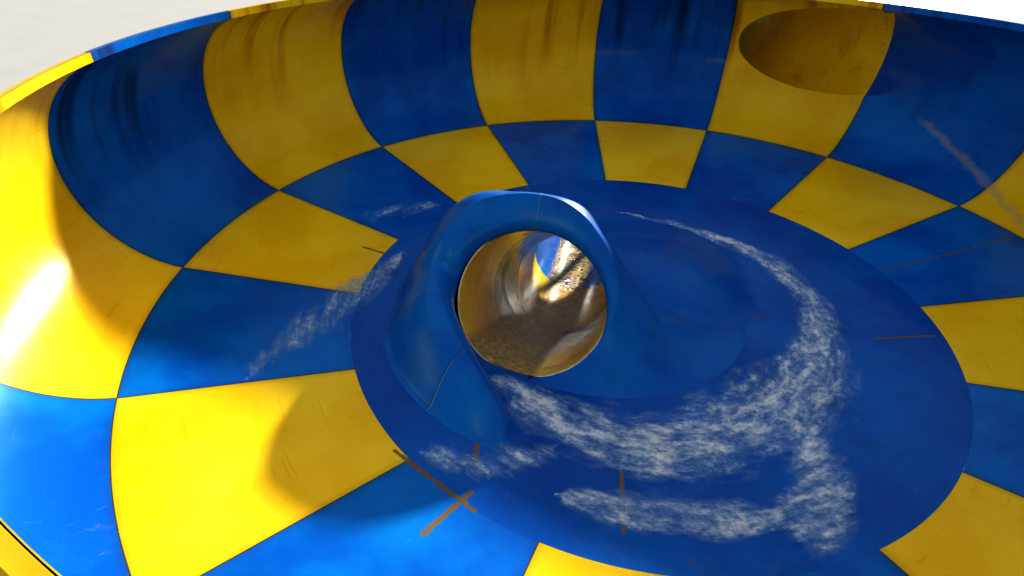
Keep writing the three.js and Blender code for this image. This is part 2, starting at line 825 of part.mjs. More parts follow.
const footprint = new THREE.Box3().setFromObject(bowl).getCenter(new THREE.Vector3());
bowl.position.set(-footprint.x, -footprint.y, 0);

export default bowl;
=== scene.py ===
"""Looks of the water slide bowl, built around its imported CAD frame.

Metres, +Z up, ground at Z = 0. Smooth numpy surfaces stand for the faceted mouldings, and the
steel frames keep their CAD solids. The bowl's own plan is measured from its axis.
"""

import math
from functools import reduce

import bpy
import numpy as np
from mathutils import Matrix, Vector


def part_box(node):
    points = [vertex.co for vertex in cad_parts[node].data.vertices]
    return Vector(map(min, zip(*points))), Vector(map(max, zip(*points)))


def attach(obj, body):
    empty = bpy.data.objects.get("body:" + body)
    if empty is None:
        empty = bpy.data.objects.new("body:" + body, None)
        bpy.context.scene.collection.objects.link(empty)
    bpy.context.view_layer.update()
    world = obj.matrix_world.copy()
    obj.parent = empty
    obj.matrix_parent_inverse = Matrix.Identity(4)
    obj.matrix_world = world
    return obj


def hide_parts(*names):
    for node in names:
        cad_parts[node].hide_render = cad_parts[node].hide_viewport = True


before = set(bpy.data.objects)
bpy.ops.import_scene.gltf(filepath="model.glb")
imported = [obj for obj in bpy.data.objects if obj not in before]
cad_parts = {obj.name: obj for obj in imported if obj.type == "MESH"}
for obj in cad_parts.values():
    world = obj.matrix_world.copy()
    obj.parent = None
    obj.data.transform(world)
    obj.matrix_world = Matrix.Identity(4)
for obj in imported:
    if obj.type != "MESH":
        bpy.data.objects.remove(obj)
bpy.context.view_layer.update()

# Bowl, measured on its inner face
PANELS = 16
SEAM_STEP = math.tau / PANELS
FIRST_SEAM = math.radians(5.88)
COURSE_RADIUS = 7.8
COURSE_HEIGHT = 5.6
FLOOR_RADIUS = 4.89
FLOOR_SLOPE = math.radians(9.1)
FLOOR_FLAT = 2.4
WALL_ARC = 1.73
WALL_CENTRE = 7.42
RIM_LEAN = math.radians(72)
RIM_LIP = 0.12
RIM_FLANGE = 0.09
SKIN = 0.012
JOINT_FLANGE = 0.08
FLANGE = 0.012
GAP = 0.0003
ROOT = SKIN * 0.5
RIB_SHORTER = 0.004
PLUG_RADIUS = 0.022

ARC_START = math.asin((COURSE_RADIUS - WALL_CENTRE) / WALL_ARC)
ARC_HEIGHT = COURSE_HEIGHT + WALL_ARC * math.cos(ARC_START)
TANGENT_RADIUS = WALL_CENTRE + WALL_ARC * math.sin(FLOOR_SLOPE)
TANGENT_HEIGHT = ARC_HEIGHT - WALL_ARC * math.cos(FLOOR_SLOPE)

# How finely the surfaces are divided
WALL_STEPS = 44
LIP_STEPS = 4
COURSE_STEPS = 18
PANEL_COLUMNS = 25
FLOOR_SIDES = 128
TUBE_SIDES = 96
TUBE_ROWS = 20
HOOD_SIDES = 320
ROLL_ROWS = 26
SKIRT_ROWS = 46
DOME_SIDES = 160
DOME_ROWS = 30
BEAD_SIDES = 192

# Exit tunnel
EXIT_BORE = 1.22
EXIT_WALL = 0.01
EXIT_FLANGE = 1.3
EXIT_START = np.array([-1.806, -0.859, 5.589])
EXIT_TURN = math.radians(84) - math.pi / 2
EXIT_DROP = math.radians(31.5)
EXIT_DROP_LENGTH = 5.56
EXIT_BEND = 6.0
EXIT_LEVEL = math.radians(3)
EXIT_LENGTH = 12.0
EXIT_BEND_LENGTH = EXIT_BEND * (EXIT_DROP - EXIT_LEVEL)
EXIT_JOINTS = (2.78, EXIT_DROP_LENGTH, EXIT_DROP_LENGTH + EXIT_BEND_LENGTH)
MOUTH_LEAN = math.radians(44)
MOUTH_CLEAR = 0.003
MOUTH_EDGE = EXIT_BORE + EXIT_WALL + MOUTH_CLEAR
FLOOR_HOLE = 1.318

# Inlet flume
FLUME_BORE = 1.115
FLUME_WALL = 0.01
FLUME_FLANGE = 1.19
FLUME_ANGLE = math.radians(30)
FLUME_RADIUS = 7.85
FLUME_HEIGHT = COURSE_HEIGHT + 2.0
FLUME_SLOPE = math.radians(3)
FLUME_JOINT = 8.3
FLUME_END = 11.1
FLUME_PANELS = (2, 3)

# Cowl: a hood with a rolled edge and a tail, and a low dome; pairs are degrees round the mouth
RING_CENTRE = (-0.15, -0.08)
RING_RADIUS = 1.47
ROLL_RADIUS = 0.25
ROLL_CHANGE = 0.06
ROLL_START = math.radians(205)
ROLL_TURN = math.radians(145)
ROLL_THINNEST = 0.14
ROLL_GROWTH = (-45, 50)
STEEP_SIDE = (-5, 70)
TAIL_JOINS = (150, 188)
TAIL_ENDS = (272, 280)
HOOD_FIRST = -75
HOOD_CENTRE = -0.2
HOOD_LEFT = 2.35
HOOD_RIGHT = 1.75
HOOD_CREST = 1.02
HOOD_FRONT = 1.8
HOOD_BACK = 2.9
HOOD_HEIGHT = 2.05
HOOD_WIDE_POWER = 3.5
HOOD_BACK_POWER = 1.7
HOOD_POWER = 1.3
TAIL_START = math.radians(172)
TAIL_TURN = math.radians(103)
TAIL_HEIGHT = 1.0
TAIL_RADIUS = 1.56
TAIL_SWEEP = 0.63
TAIL_SWEEP_FROM = 0.35
TAIL_SWEEP_POWER = 2.5
TAIL_FALL_POWERS = (2.2, 0.6)
TAIL_FULLNESS = 0.85
TAIL_LEAST = 0.02
TAIL_ROLL = 0.28
DOME_CENTRE = (1.75, 2.45)
DOME_RADIUS = 2.06
DOME_HEIGHT = 0.55
DOME_POWER = 1.25
DOME_PAST = 1.04
COWL_SKIN = SKIN * 0.6
SKIRT_REACH = 4.1
SKIRT_STEP = 0.02
SKIRT_POWER = 1.3
SKIRT_BURIED = 0.06
SKIRT_SLOPE = 0.58
SKIRT_CURVE = 1.3
APRON_REACH = 2.0
FILLET = 0.022
MERGE = 0.1
MERGE_GROWTH = 0.15
BEAD = 0.014
COWL_JOINTS = (88, 197, 243)

# Bolts: (rise, radius) of a washer and a hexagon head; reach is counted from the inner face
BOLT_HEAD = ((0.0, 0.015), (0.0025, 0.015), (0.0025, 0.0105), (0.0105, 0.0105))
BOLT_SPACING = 0.2
BOLT_REACH = 0.05
FLUME_BOLT_REACH = 0.045
ANCHOR_SIZE = 2.2
ANCHOR_REACH = 0.25
FRAME_RADIUS = 6.9
FRAMES = 8
BASE_THICKNESS = 0.03
PORTAL_SET_BACK = 0.9
EXIT_LEG = 1.19
INLET_LEG = 1.085

# Running water: foam streams as strength, degrees round the bowl's axis, radii and half widths
FOAM_LOW = (-6.9, -5.6)
FOAM_HIGH = (5.2, 4.4)
FOAM_CELL = 0.025
FOAM_HEIGHT = 0.08
FOAM_BEND = 0.22
FOAM_BEND_SIZE = 0.5
FOAM_CHURN_SIZE = 0.22
FOAM_CLEAR = 0.004
FOAM_SPREAD = 1.5
FOAM_LEAST = 0.01
FOAM_STREAMS = (
    (1.0, (-140, -130, -118, -104, -86, -66, -45, -25, -5, 18, 37, 54, 77, 95),
     (2.95, 2.85, 2.85, 2.9, 2.95, 2.7, 2.7, 2.85, 3.05, 3.3, 3.4, 3.4, 3.4, 3.6),
     (0.16, 0.3, 0.4, 0.5, 0.52, 0.62, 0.66, 0.5, 0.32, 0.24, 0.2, 0.14, 0.1, 0.06)),
    (1.0, (-48, -55, -61, -70), (3.0, 3.7, 4.1, 4.5), (0.36, 0.3, 0.3, 0.34)),
    (1.0, (-107, -98, -89, -80, -66), (4.2, 4.1, 4.05, 4.1, 4.25), (0.1, 0.22, 0.26, 0.22, 0.1)),
    (0.75, (-129, -122, -117, -112), (4.75, 4.35, 3.95, 3.4), (0.14, 0.24, 0.22, 0.12)),
    (0.75, (168, 178, 187, 195, 202, 208), (4.6, 4.65, 4.95, 5.4, 5.9, 6.3),
     (0.12, 0.18, 0.28, 0.28, 0.18, 0.1)),
    (0.5, (163, 154, 145), (5.9, 5.5, 5.1), (0.14, 0.2, 0.14)),
)
NOISE_GRID = 97
WATER_ROWS = 560
WATER_COLUMNS = 64
WATER_DEPTH = 0.05
WATER_RIPPLE = 0.03
WATER_RIPPLE_SIZE = 0.14
WATER_MIDDLE = math.radians(-112)
WATER_HALF = math.radians(34)
WATER_TURN = 0.25
WATER_TURNS = (2, 8)

# Colours
YELLOW = (0.86, 0.56, 0.006)
YELLOW_FADED = (0.93, 0.68, 0.03)
YELLOW_STAIN = (0.48, 0.16, 0.004)
YELLOW_SHEEN = (1, 0.86, 0.45, 1)
YELLOW_PAINT = (YELLOW, YELLOW_FADED, YELLOW_STAIN, YELLOW_SHEEN)
BLUE = (0.0005, 0.115, 0.52)
BLUE_FADED = (0.001, 0.2, 0.66)
BLUE_STAIN = (0.002, 0.018, 0.1)
BLUE_SHEEN = (0.25, 0.55, 1, 1)
BLUE_PAINT = (BLUE, BLUE_FADED, BLUE_STAIN, BLUE_SHEEN)
FLOOR_BLUE = (0.0005, 0.09, 0.45)
FLOOR_FADED = (0.001, 0.15, 0.58)
COWL_BLUE = (0.0005, 0.115, 0.52)
COWL_FADED = (0.001, 0.17, 0.58)
GRIME = (0.028, 0.024, 0.016)
MARK_TONE = (0.22, 0.13, 0.006)

# Brown marks in plan, as both ends and half the width
MARKS = (
    ((-2.32, -3.05), (-2.28, -3.7), 0.035),
    ((-2.3, -3.08), (-2.0, -3.32), 0.025),
    ((-3.3, -3.7), (-2.15, -4.4), 0.03),
    ((-2.25, -4.15), (-2.65, -4.8), 0.035),
    ((-0.42, -3.4), (-0.45, -4.4), 0.025),
    ((4.65, 1.6), (7.2, 2.45), 0.018),
    ((3.9, -0.3), (4.75, -0.28), 0.02),
    ((-5.25, 0.9), (-4.85, 0.85), 0.025),
)

# The flume's pale run of water: turn and height of a point, metres up for each radian of turn,
# how far from its middle it ends, and the turns between which it starts and stops
RUN_TURN = 0.496
RUN_HEIGHT = 0.8
RUN_CLIMB = 3.6
RUN_WANDER = 0.4
RUN_EDGE = (0.14, 0.02)
RUN_START = (0.28, 0.42)
RUN_STOP = (0.76, 0.7)
RUN_TONE = (0.42, 0.4, 0.36)

# Stage
STAGE_REACH = 160.0
SUN_TURN = math.radians(67)
SUN_RISE = math.radians(17.1)
CAMERA_PLACE = (-1.402, -8.208, 5.448)
CAMERA_AIM = (-0.0823, 0.81, -0.5806)
CAMERA_UP = (-0.0823, 0.5751, 0.8139)
CAMERA_LENS = 20.12


def axis_of_bowl():
    """The plan position of the bowl's axis: the middle of the box round all wall panels."""
    boxes = [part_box(f"wall_panel_{i + 1}") for i in range(PANELS)]
    low = np.min([np.array(box[0]) for box in boxes], axis=0)
    high = np.max([np.array(box[1]) for box in boxes], axis=0)
    middle = (low + high) / 2
    return np.array([middle[0], middle[1], 0.0])


AXIS = axis_of_bowl()


# Numbers


def stacked(*parts):
    """Numbers side by side along a last axis."""
    return np.stack(np.broadcast_arrays(*parts), axis=-1)


def circle(sides):
    """Angles at equal steps round a circle."""
    return np.arange(sides) * math.tau / sides


def unit(vectors):
    return vectors / np.linalg.norm(vectors, axis=-1)[..., None]


def smooth(value, low, high):
    """Eases from 0 at low to 1 at high."""
    t = np.clip((value - low) / (high - low), 0, 1)
    return t * t * (3 - 2 * t)


def blend(first, second, share):
    """The point a share of the way from the first to the second."""
    return first + (second - first) * share[..., None]


def halved(near, far, beyond, times):
    """Where what holds at far and not at near begins, by halving the interval."""
    for _ in range(times):
        middle = (near + far) / 2
        there = beyond(middle)
        near, far = np.where(there, near, middle), np.where(there, middle, far)
    return far


def turn_plan(x, y, turn):
    """A place in plan turned about the origin."""
    return x * math.cos(turn) - y * math.sin(turn), x * math.sin(turn) + y * math.cos(turn)


# Meshes


def grid_faces(rows, columns, closed=False):
    """Quads of a grid of rows by columns; closed joins the last column to the first."""
    row, column = np.meshgrid(
        np.arange(rows - 1), np.arange(columns if closed else columns - 1), indexing="ij"
    )
    after = (column + 1) % columns
    corners = [(row, column), (row + 1, column), (row + 1, after), (row, after)]
    return stacked(*(r * columns + c for r, c in corners)).reshape(-1, 4)


def slab(front, back, closed=False):
    """A closed solid between two grids of points, which are its faces. Strips join the grids'
    borders, all round or, where the columns close, at both ends."""
    rows, columns = front.shape[:2]
    count = rows * columns
    points = np.concatenate([front.reshape(-1, 3), back.reshape(-1, 3)])
    face = grid_faces(rows, columns, closed)
    index = np.arange(count).reshape(rows, columns)

    def strip(line):
        line = np.append(line, line[0]) if closed else line
        return stacked(line[:-1], line[1:], line[1:] + count, line[:-1] + count)

    faces = [face, face[:, ::-1] + count, strip(index[0]), strip(index[-1])[:, ::-1]]
    if not closed:
        faces += [strip(index[:, 0])[:, ::-1], strip(index[:, -1])]
    faces = np.concatenate(faces)
    middle = (rows // 2) * columns + columns // 2
    a, b, d = (points[k] for k in (middle, middle - columns, middle - 1))
    outward = np.dot(np.cross(b - a, d - a), points[middle] - points[middle + count])
    return points, faces if outward > 0 else faces[:, ::-1]


def joined(solids):
    """The points and faces of several solids as one, with their vertex numbers moved on."""
    starts = np.cumsum([0] + [len(points) for points, _ in solids])
    faces = [part + start for (_, part), start in zip(solids, starts)]
    return np.concatenate([points for points, _ in solids]), np.concatenate(faces)


def add_object(name, data):
    piece = bpy.data.objects.new(name, data)
    bpy.context.scene.collection.objects.link(piece)
    return piece


def add_mesh(name, points, faces, uv=None, sharp=35):
    """An object of points and quads; uv gives each vertex its place on the sheet."""
    mesh = bpy.data.meshes.new(name)
    mesh.vertices.add(len(points))
    mesh.vertices.foreach_set("co", np.ascontiguousarray(points, dtype=np.float32).ravel())
    mesh.loops.add(faces.size)
    mesh.loops.foreach_set("vertex_index", faces.astype(np.int32).ravel())
    mesh.polygons.add(len(faces))
    mesh.polygons.foreach_set("loop_start", np.arange(0, faces.size, 4, dtype=np.int32))
    mesh.update(calc_edges=True)
    if uv is not None:
        layer = mesh.uv_layers.new(name="sheet")
        layer.data.foreach_set("uv", uv[faces.ravel()].astype(np.float32).ravel())
    return add_object(name, shade(mesh, sharp))


def shade(mesh, sharp=35):
    """Smooth faces, with the edges sharper than an angle in degrees kept sharp."""
    mesh.polygons.foreach_set("use_smooth", np.ones(len(mesh.polygons), dtype=bool))
    mesh.set_sharp_from_angle(angle=math.radians(sharp))
    return mesh


def add_values(piece, name, values):
    """A number for each vertex, which a material reads by its name."""
    layer = piece.data.attributes.new(name, "FLOAT", "POINT")
    layer.data.foreach_set("value", values.astype(np.float32))


def finish_piece(piece, finish, nodes=()):
    """Gives a piece its material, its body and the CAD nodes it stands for."""
    piece.data.materials.clear()
    piece.data.materials.append(finish)
    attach(piece, "root")
    if nodes:
        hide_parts(*nodes)


def cut_by(piece, cutter):
    """Cuts the cutter out of a piece's mesh."""
    modifier = piece.modifiers.new("cut", "BOOLEAN")
    modifier.operation = "DIFFERENCE"
    modifier.solver = "EXACT"
    modifier.object = cutter
    bpy.context.view_layer.update()
    evaluated = piece.evaluated_get(bpy.context.evaluated_depsgraph_get())
    mesh = bpy.data.meshes.new_from_object(evaluated)
    piece.modifiers.clear()
    piece.data = shade(mesh)


def merged(shells, name):
    """One object of several, made by joining them."""
    shells = [shell for shell in shells if len(shell.data.polygons)]
    with bpy.context.temp_override(
        active_object=shells[0], selected_editable_objects=shells, selected_objects=shells
    ):
        bpy.ops.object.join()
    shells[0].name = name
    return shells[0]


# Bowl


def slope_height(radius):
    """Height of the inner face over the sloping floor and lower course."""
    return TANGENT_HEIGHT - (TANGENT_RADIUS - radius) * math.tan(FLOOR_SLOPE)


def floor_height(radius):
    """Height of the floor's inner face: the slope, held level inside the flat middle."""
    return slope_height(np.maximum(radius, FLOOR_FLAT))


def wall_arc(angle):
    """The wall's arc as (radius, height), at each angle from straight down."""
    return stacked(WALL_CENTRE + WALL_ARC * np.sin(angle), ARC_HEIGHT - WALL_ARC * np.cos(angle))


def wall_line():
    """Inner face of the upper wall as (radius, height): an arc, then the upright rim lip."""
    arc = wall_arc(np.linspace(ARC_START, math.pi / 2 + RIM_LEAN, WALL_STEPS))
    rise = RIM_LIP * np.arange(1, LIP_STEPS + 1) / LIP_STEPS
    return np.concatenate([arc, arc[-1] + stacked(0.0, rise)])


def course_line():
    """Inner face of the lower course: the slope out to the tangent, then the arc to the joint."""
    slope = np.linspace(FLOOR_RADIUS, TANGENT_RADIUS, COURSE_STEPS)
    arc = wall_arc(np.linspace(FLOOR_SLOPE, ARC_START, 4)[1:])
    return np.concatenate([stacked(slope, slope_height(slope)), arc])


def normals_of(line):
    """Unit directions square to a line of (radius, height), pointing out of the bowl."""
    along = np.gradient(line, axis=0)
    along /= np.linalg.norm(along, axis=1)[:, None]
    return stacked(along[:, 1], -along[:, 0])


def lengths_of(line):
    """Distance along a line from its start."""
    return np.append(0, np.cumsum(np.linalg.norm(np.diff(line, axis=0), axis=1)))


def turned(line, angles):
    """Points of a (radius, height) line turned to each angle about the bowl's axis."""
    x = line[:, None, 0] * np.cos(angles)
    y = line[:, None, 0] * np.sin(angles)
    return stacked(x, y, line[:, None, 1]) + AXIS


def sheet_places(line, angles, start):
    """Places on the laid-out panel: metres round at the course joint, and metres up the line."""
    up = start + lengths_of(line)
    return stacked(angles * COURSE_RADIUS, up[:, None]).reshape(-1, 2)


def panel_solids(line, index, end_flange, start):
    """One moulding between two seams, as solids and their places on the sheet: its skin, a flange
    square to it at both ends of the line, and a joint flange down each side."""
    half_gap = GAP / 2 / COURSE_RADIUS
    first = FIRST_SEAM + index * SEAM_STEP + half_gap
    last = FIRST_SEAM + (index + 1) * SEAM_STEP - half_gap
    angles = np.linspace(first, last, PANEL_COLUMNS)
    out = normals_of(line)
    solids = []
    places = []

    def put(front, back):
        solids.append(slab(turned(front, angles), turned(back, angles)))
        places.append(np.tile(sheet_places(front, angles, start), (2, 1)))

    put(line, line + out * SKIN)
    for end, depth in ((0, JOINT_FLANGE), (-1, end_flange)):
        step = line[1] - line[0] if end == 0 else line[-2] - line[-1]
        inner = line[end] + step / np.linalg.norm(step) * FLANGE
        rise = np.linspace(ROOT, depth, 4)[:, None] * out[end]
        put(line[end] + rise, inner + rise)
    rib = [line + out * depth for depth in (ROOT, JOINT_FLANGE - RIB_SHORTER)]
    rib = np.stack(rib, axis=1).reshape(-1, 2)
    up = start + np.repeat(lengths_of(line), 2)
    for edge, inward in ((first, 1), (last, -1)):
        turn = inward * FLANGE / line[:, 0].mean()
        front = turned(rib, np.array([edge])).reshape(-1, 2, 3)
        back = turned(rib, np.array([edge + turn])).reshape(-1, 2, 3)
        solids.append(slab(front, back))
        places.append(np.tile(stacked(edge * COURSE_RADIUS, up), (2, 1)))
    return solids, places


def bowl_panels(name, line, end_flange, start, finishes, cutter=None, cut_panels=()):
    """A ring of panels in two finishes by turns; the cutter makes an opening in some of them."""
    for index in range(PANELS):
        node = f"{name}_{index + 1}"
        solids, places = panel_solids(line, index, end_flange, start)
        if index + 1 in cut_panels:
            shells = [add_mesh(node, *solid, place) for solid, place in zip(solids, places)]
            for shell in shells:
                cut_by(shell, cutter)
            piece = merged(shells, f"{node}_moulding")
        else:
            piece = add_mesh(f"{node}_moulding", *joined(solids), np.concatenate(places))
        finish, slot = finishes[index % 2]
        finish_piece(piece, finish, (node,))


# Tubes


def exit_path(distance):
    """Middle line of the exit tunnel in its upright plane, as (run, height) and its slope: a
    steep straight, then an arc that levels out, then a straight at the last slope."""
    steep = np.minimum(distance, EXIT_DROP_LENGTH)
    bent = np.clip(distance - EXIT_DROP_LENGTH, 0, EXIT_BEND_LENGTH)
    level = np.maximum(distance - EXIT_DROP_LENGTH - EXIT_BEND_LENGTH, 0)
    slope = EXIT_DROP - bent / EXIT_BEND
    run = (
        steep * math.cos(EXIT_DROP)
        + EXIT_BEND * (math.sin(EXIT_DROP) - np.sin(slope))
        + level * math.cos(EXIT_LEVEL)
    )
    fall = (
        steep * math.sin(EXIT_DROP)
        + EXIT_BEND * (np.cos(slope) - math.cos(EXIT_DROP))
        + level * math.sin(EXIT_LEVEL)
    )
    return run, -fall, slope


def place_exit(points):
    """From the tunnel's own plan, across and along it from the mouth's middle, to the object."""
    x, y = turn_plan(points[..., 0], points[..., 1], EXIT_TURN)
    return stacked(x, y, points[..., 2]) + EXIT_START + AXIS


def in_tunnel(along, across, up):
    """Places in the exit tunnel: along its middle line, across it and up square to it."""
    run, height, slope = exit_path(along)
    return place_exit(stacked(across, run + up * np.sin(slope), height + up * np.cos(slope)))


def in_flume(along, across, up):
    """Places in the inlet flume: along its straight middle line, across it and up square to it."""
    tilt = Matrix.Rotation(FLUME_SLOPE, 3, "X")
    turn = Matrix.Rotation(FLUME_ANGLE, 3, "Z")
    moved = stacked(across, along, up) @ np.array(tilt).T + [FLUME_RADIUS, 0, FLUME_HEIGHT]
    return moved @ np.array(turn).T + AXIS


def rings(tube, distances, radii, sides=TUBE_SIDES):
    """Circles of the given radii square to a tube's middle line. The distances along it may
    differ round the circle, so that a ring can lie in a leaning plane."""
    distances = np.broadcast_to(np.reshape(distances, (len(radii), -1)), (len(radii), sides))
    radius = np.reshape(radii, (-1, 1))
    return tube(distances, radius * np.cos(circle(sides)), radius * np.sin(circle(sides)))


def plane_distance(up):
    """How far along the tunnel a line this far up from its middle line meets the leaning plane:
    where run * cos(lean) equals height * sin(lean)."""
    return up * math.tan(MOUTH_LEAN - EXIT_DROP)


def mouth_distances(radius):
    """Where each line of a tube of this radius meets the leaning plane."""
    return plane_distance(radius * np.sin(circle(TUBE_SIDES)))


def outside_wall(points):
    """How far points stand outside the wall's inner face, measured level at their height."""
    offset = points - AXIS
    rise = np.clip((offset[..., 2] - ARC_HEIGHT) / WALL_ARC, -1, math.sin(RIM_LEAN))
    wall = WALL_CENTRE + WALL_ARC * np.sqrt(1 - rise ** 2)
    return np.hypot(offset[..., 0], offset[..., 1]) - wall


def flume_distances(radius):
    """Where each line of the flume's tube leaves the bowl's inner face."""

    def outside(distance):
        return outside_wall(rings(in_flume, distance, [radius])[0]) > 0

    return halved(np.zeros(TUBE_SIDES), np.full(TUBE_SIDES, FLUME_JOINT), outside, 30)


def tube_lengths(tube, lengths, bore, wall, flange, finishes):
    """A tube's lengths in two finishes by turns, each a shell with a flange ring at its joints. A
    beginning given as a function of the radius has no joint."""
    for index, (name, begin, end) in enumerate(lengths):
        steps = np.linspace(0, 1, TUBE_ROWS)[:, None]
        faces = []
        for radius in (bore, bore + wall):
            start = begin(radius) if callable(begin) else begin
            distances = start * (1 - steps) + end * steps
            faces.append(rings(tube, distances, np.full(TUBE_ROWS, radius)))
        solids = [slab(*faces, closed=True)]
        joints = [] if callable(begin) else [(begin, begin + FLANGE)]
        for near, far in (*joints, (end - FLANGE, end)):
            root = bore + wall * 0.4
            loop = rings(tube, [near, near, far, far], [root, flange, flange, root])
            solids.append(slab(loop[:2], loop[:1:-1], closed=True))
        finish, slot = finishes[index % 2]
        finish_piece(add_mesh(f"{name}_shell", *joined(solids)), finish, (name,))


def exit_tubes(finishes):
    """The tunnel's four lengths: the mouth that ends in the leaning plane, and three beyond."""
    names = ("exit_mouth", "exit_tube_upper", "exit_tube_middle", "exit_tube_lower")
    begins = (mouth_distances, *(joint + GAP / 2 for joint in EXIT_JOINTS))
    ends = [end - GAP / 2 for end in (*EXIT_JOINTS, EXIT_LENGTH)]
    lengths = zip(names, begins, ends)
    tube_lengths(in_tunnel, lengths, EXIT_BORE, EXIT_WALL, EXIT_FLANGE, finishes)


def inlet_tubes(finishes):
    """The flume's two lengths; the lower one ends on the wall's inner face."""
    lengths = (
        ("inlet_flume_lower", flume_distances, FLUME_JOINT - GAP / 2),
        ("inlet_flume_upper", FLUME_JOINT + GAP / 2, FLUME_END),
    )
    tube_lengths(in_flume, lengths, FLUME_BORE, FLUME_WALL, FLUME_FLANGE, finishes)


def rod(tube, start, end, radius):
    """A cutter: a closed rod between two rings, with a bore no wider than a hair."""
    ends = np.stack([np.broadcast_to(part, TUBE_SIDES) for part in (start, end)])
    loop, core = (rings(tube, ends, np.full(2, size)) for size in (radius, 1e-4))
    return add_mesh("cutter", *slab(loop, core, closed=True))


# Floor and cowl


def bowl_floor(finish):
    """The floor: level in the middle, sloping out to its joint flange, cut by the tunnel's hole."""
    radii = np.concatenate([
        [0.02, 0.6, 1.2, 1.8, FLOOR_FLAT - 0.05, FLOOR_FLAT, FLOOR_FLAT + 0.05],
        np.linspace(FLOOR_FLAT + 0.3, FLOOR_RADIUS - GAP, 14),
    ])
    line = stacked(radii, floor_height(radii))
    angles = FIRST_SEAM + circle(FLOOR_SIDES)
    top = turned(line, angles)
    edge = line[-1] + np.linspace(ROOT, JOINT_FLANGE, 3)[:, None] * normals_of(line)[-1]
    plug = np.array([0.0, PLUG_RADIUS])
    middle = turned(stacked(plug, floor_height(plug)), angles)
    shells = [
        add_mesh("floor", *slab(front, back, closed=True))
        for front, back in (
            (top, top - [0, 0, SKIN]),
            (turned(edge, angles), turned(edge - [FLANGE, 0], angles)),
            (middle + [0, 0, 1e-4], middle - [0, 0, SKIN]),
        )
    ]
    cutter = rod(in_tunnel, mouth_distances(FLOOR_HOLE), EXIT_DROP_LENGTH, FLOOR_HOLE)
    cut_by(shells[0], cutter)
    bpy.data.objects.remove(cutter)
    finish_piece(merged(shells, "bowl_floor_moulding"), finish, ("bowl_floor",))


def floor_under(points):
    """Height of the bowl's floor under points of the tunnel's own plan."""
    placed = place_exit(points) - AXIS
    return floor_height(np.hypot(placed[..., 0], placed[..., 1])) - EXIT_START[2]


def hood_height(across, along):
    """How far the bell over the tunnel stands above the floor."""
    side = across - HOOD_CENTRE
    wide = np.abs(side / np.where(side < 0, HOOD_LEFT, HOOD_RIGHT)) ** HOOD_WIDE_POWER
    back = along - HOOD_CREST
    long = np.where(back > 0, np.abs(back / HOOD_BACK) ** HOOD_BACK_POWER, (back / HOOD_FRONT) ** 2)
    return HOOD_HEIGHT * np.maximum(1 - wide - long, 0) ** HOOD_POWER


def over_hood(points):
    """Heights of points merged softly with the hood, which is sunk where its bell has ended: half
    the sum of both and the root of their difference squared plus the merging width squared."""
    height = points[..., 2]
    bell = hood_height(points[..., 0], points[..., 1])
    sunk = SKIRT_BURIED * (1 - smooth(bell, 0, SKIRT_BURIED))
    hood = floor_under(points) + bell - sunk
    width = MERGE + MERGE_GROWTH * bell
    return 0.5 * (height + hood + np.sqrt((height - hood) ** 2 + width ** 2))


def leaning(across, up):
    """A point of the mouth's leaning plane."""
    return stacked(across, up * math.sin(MOUTH_LEAN), up * math.cos(MOUTH_LEAN))


def lean_normal():
    """The direction square to the mouth's leaning plane, up and out of the mouth."""
    return np.array([0, -math.cos(MOUTH_LEAN), math.sin(MOUTH_LEAN)])


def roll_sections(angle):
    """Middle, size and directions of the rolled edge's section at each angle round the mouth. The
    middle lies on a ring in the leaning plane, and on the left it follows the tail forward."""
    turn = np.degrees(angle)
    cosine, sine = np.cos(angle), np.sin(angle)
    plan = stacked(cosine, sine, 0.0)
    strength = np.maximum(smooth(turn, *ROLL_GROWTH), ROLL_THINNEST)
    ring = leaning(RING_CENTRE[0] + RING_RADIUS * cosine, RING_CENTRE[1] + RING_RADIUS * sine)
    middle = blend(leaning(MOUTH_EDGE * cosine, MOUTH_EDGE * sine), ring, strength)
    way = np.clip((angle - TAIL_START) / TAIL_TURN, 0, 1)
    height = TAIL_HEIGHT * (1 - way ** TAIL_FALL_POWERS[0]) ** TAIL_FALL_POWERS[1]
    size = np.minimum(TAIL_ROLL, TAIL_FULLNESS * height) + TAIL_LEAST
    sweep = np.maximum(way - TAIL_SWEEP_FROM, 0) / (1 - TAIL_SWEEP_FROM)
    crest = TAIL_RADIUS + TAIL_SWEEP * sweep ** TAIL_SWEEP_POWER
    tail = plan * crest[:, None]
    sunk = SKIRT_BURIED * smooth(way, 0.9, 1)
    tail[:, 2] = floor_under(tail) + height - size - sunk
    left = 1 - smooth(turn, *TAIL_ENDS)
    share = smooth(turn, *TAIL_JOINS) * left
    upright = np.array([0, 0, 1.0])
    return {
        "share": share,
        "steep": smooth(turn, *STEEP_SIDE) * left,
        "middle": blend(middle, tail, share),
        "size": (ROLL_RADIUS - ROLL_CHANGE * cosine) * strength * (1 - share) + size * share,
        "outward": unit(blend(leaning(cosine, sine), plan, share)),
        "lift": unit(blend(np.broadcast_to(lean_normal(), plan.shape), upright, share)),
    }


def roll_point(section, turn):
    """A point of the rolled edge's section, by how far round it the point lies."""
    size = section["size"][:, None]
    return (
        section["middle"]
        + section["outward"] * size * math.cos(turn)
        + section["lift"] * size * math.sin(turn)
    )


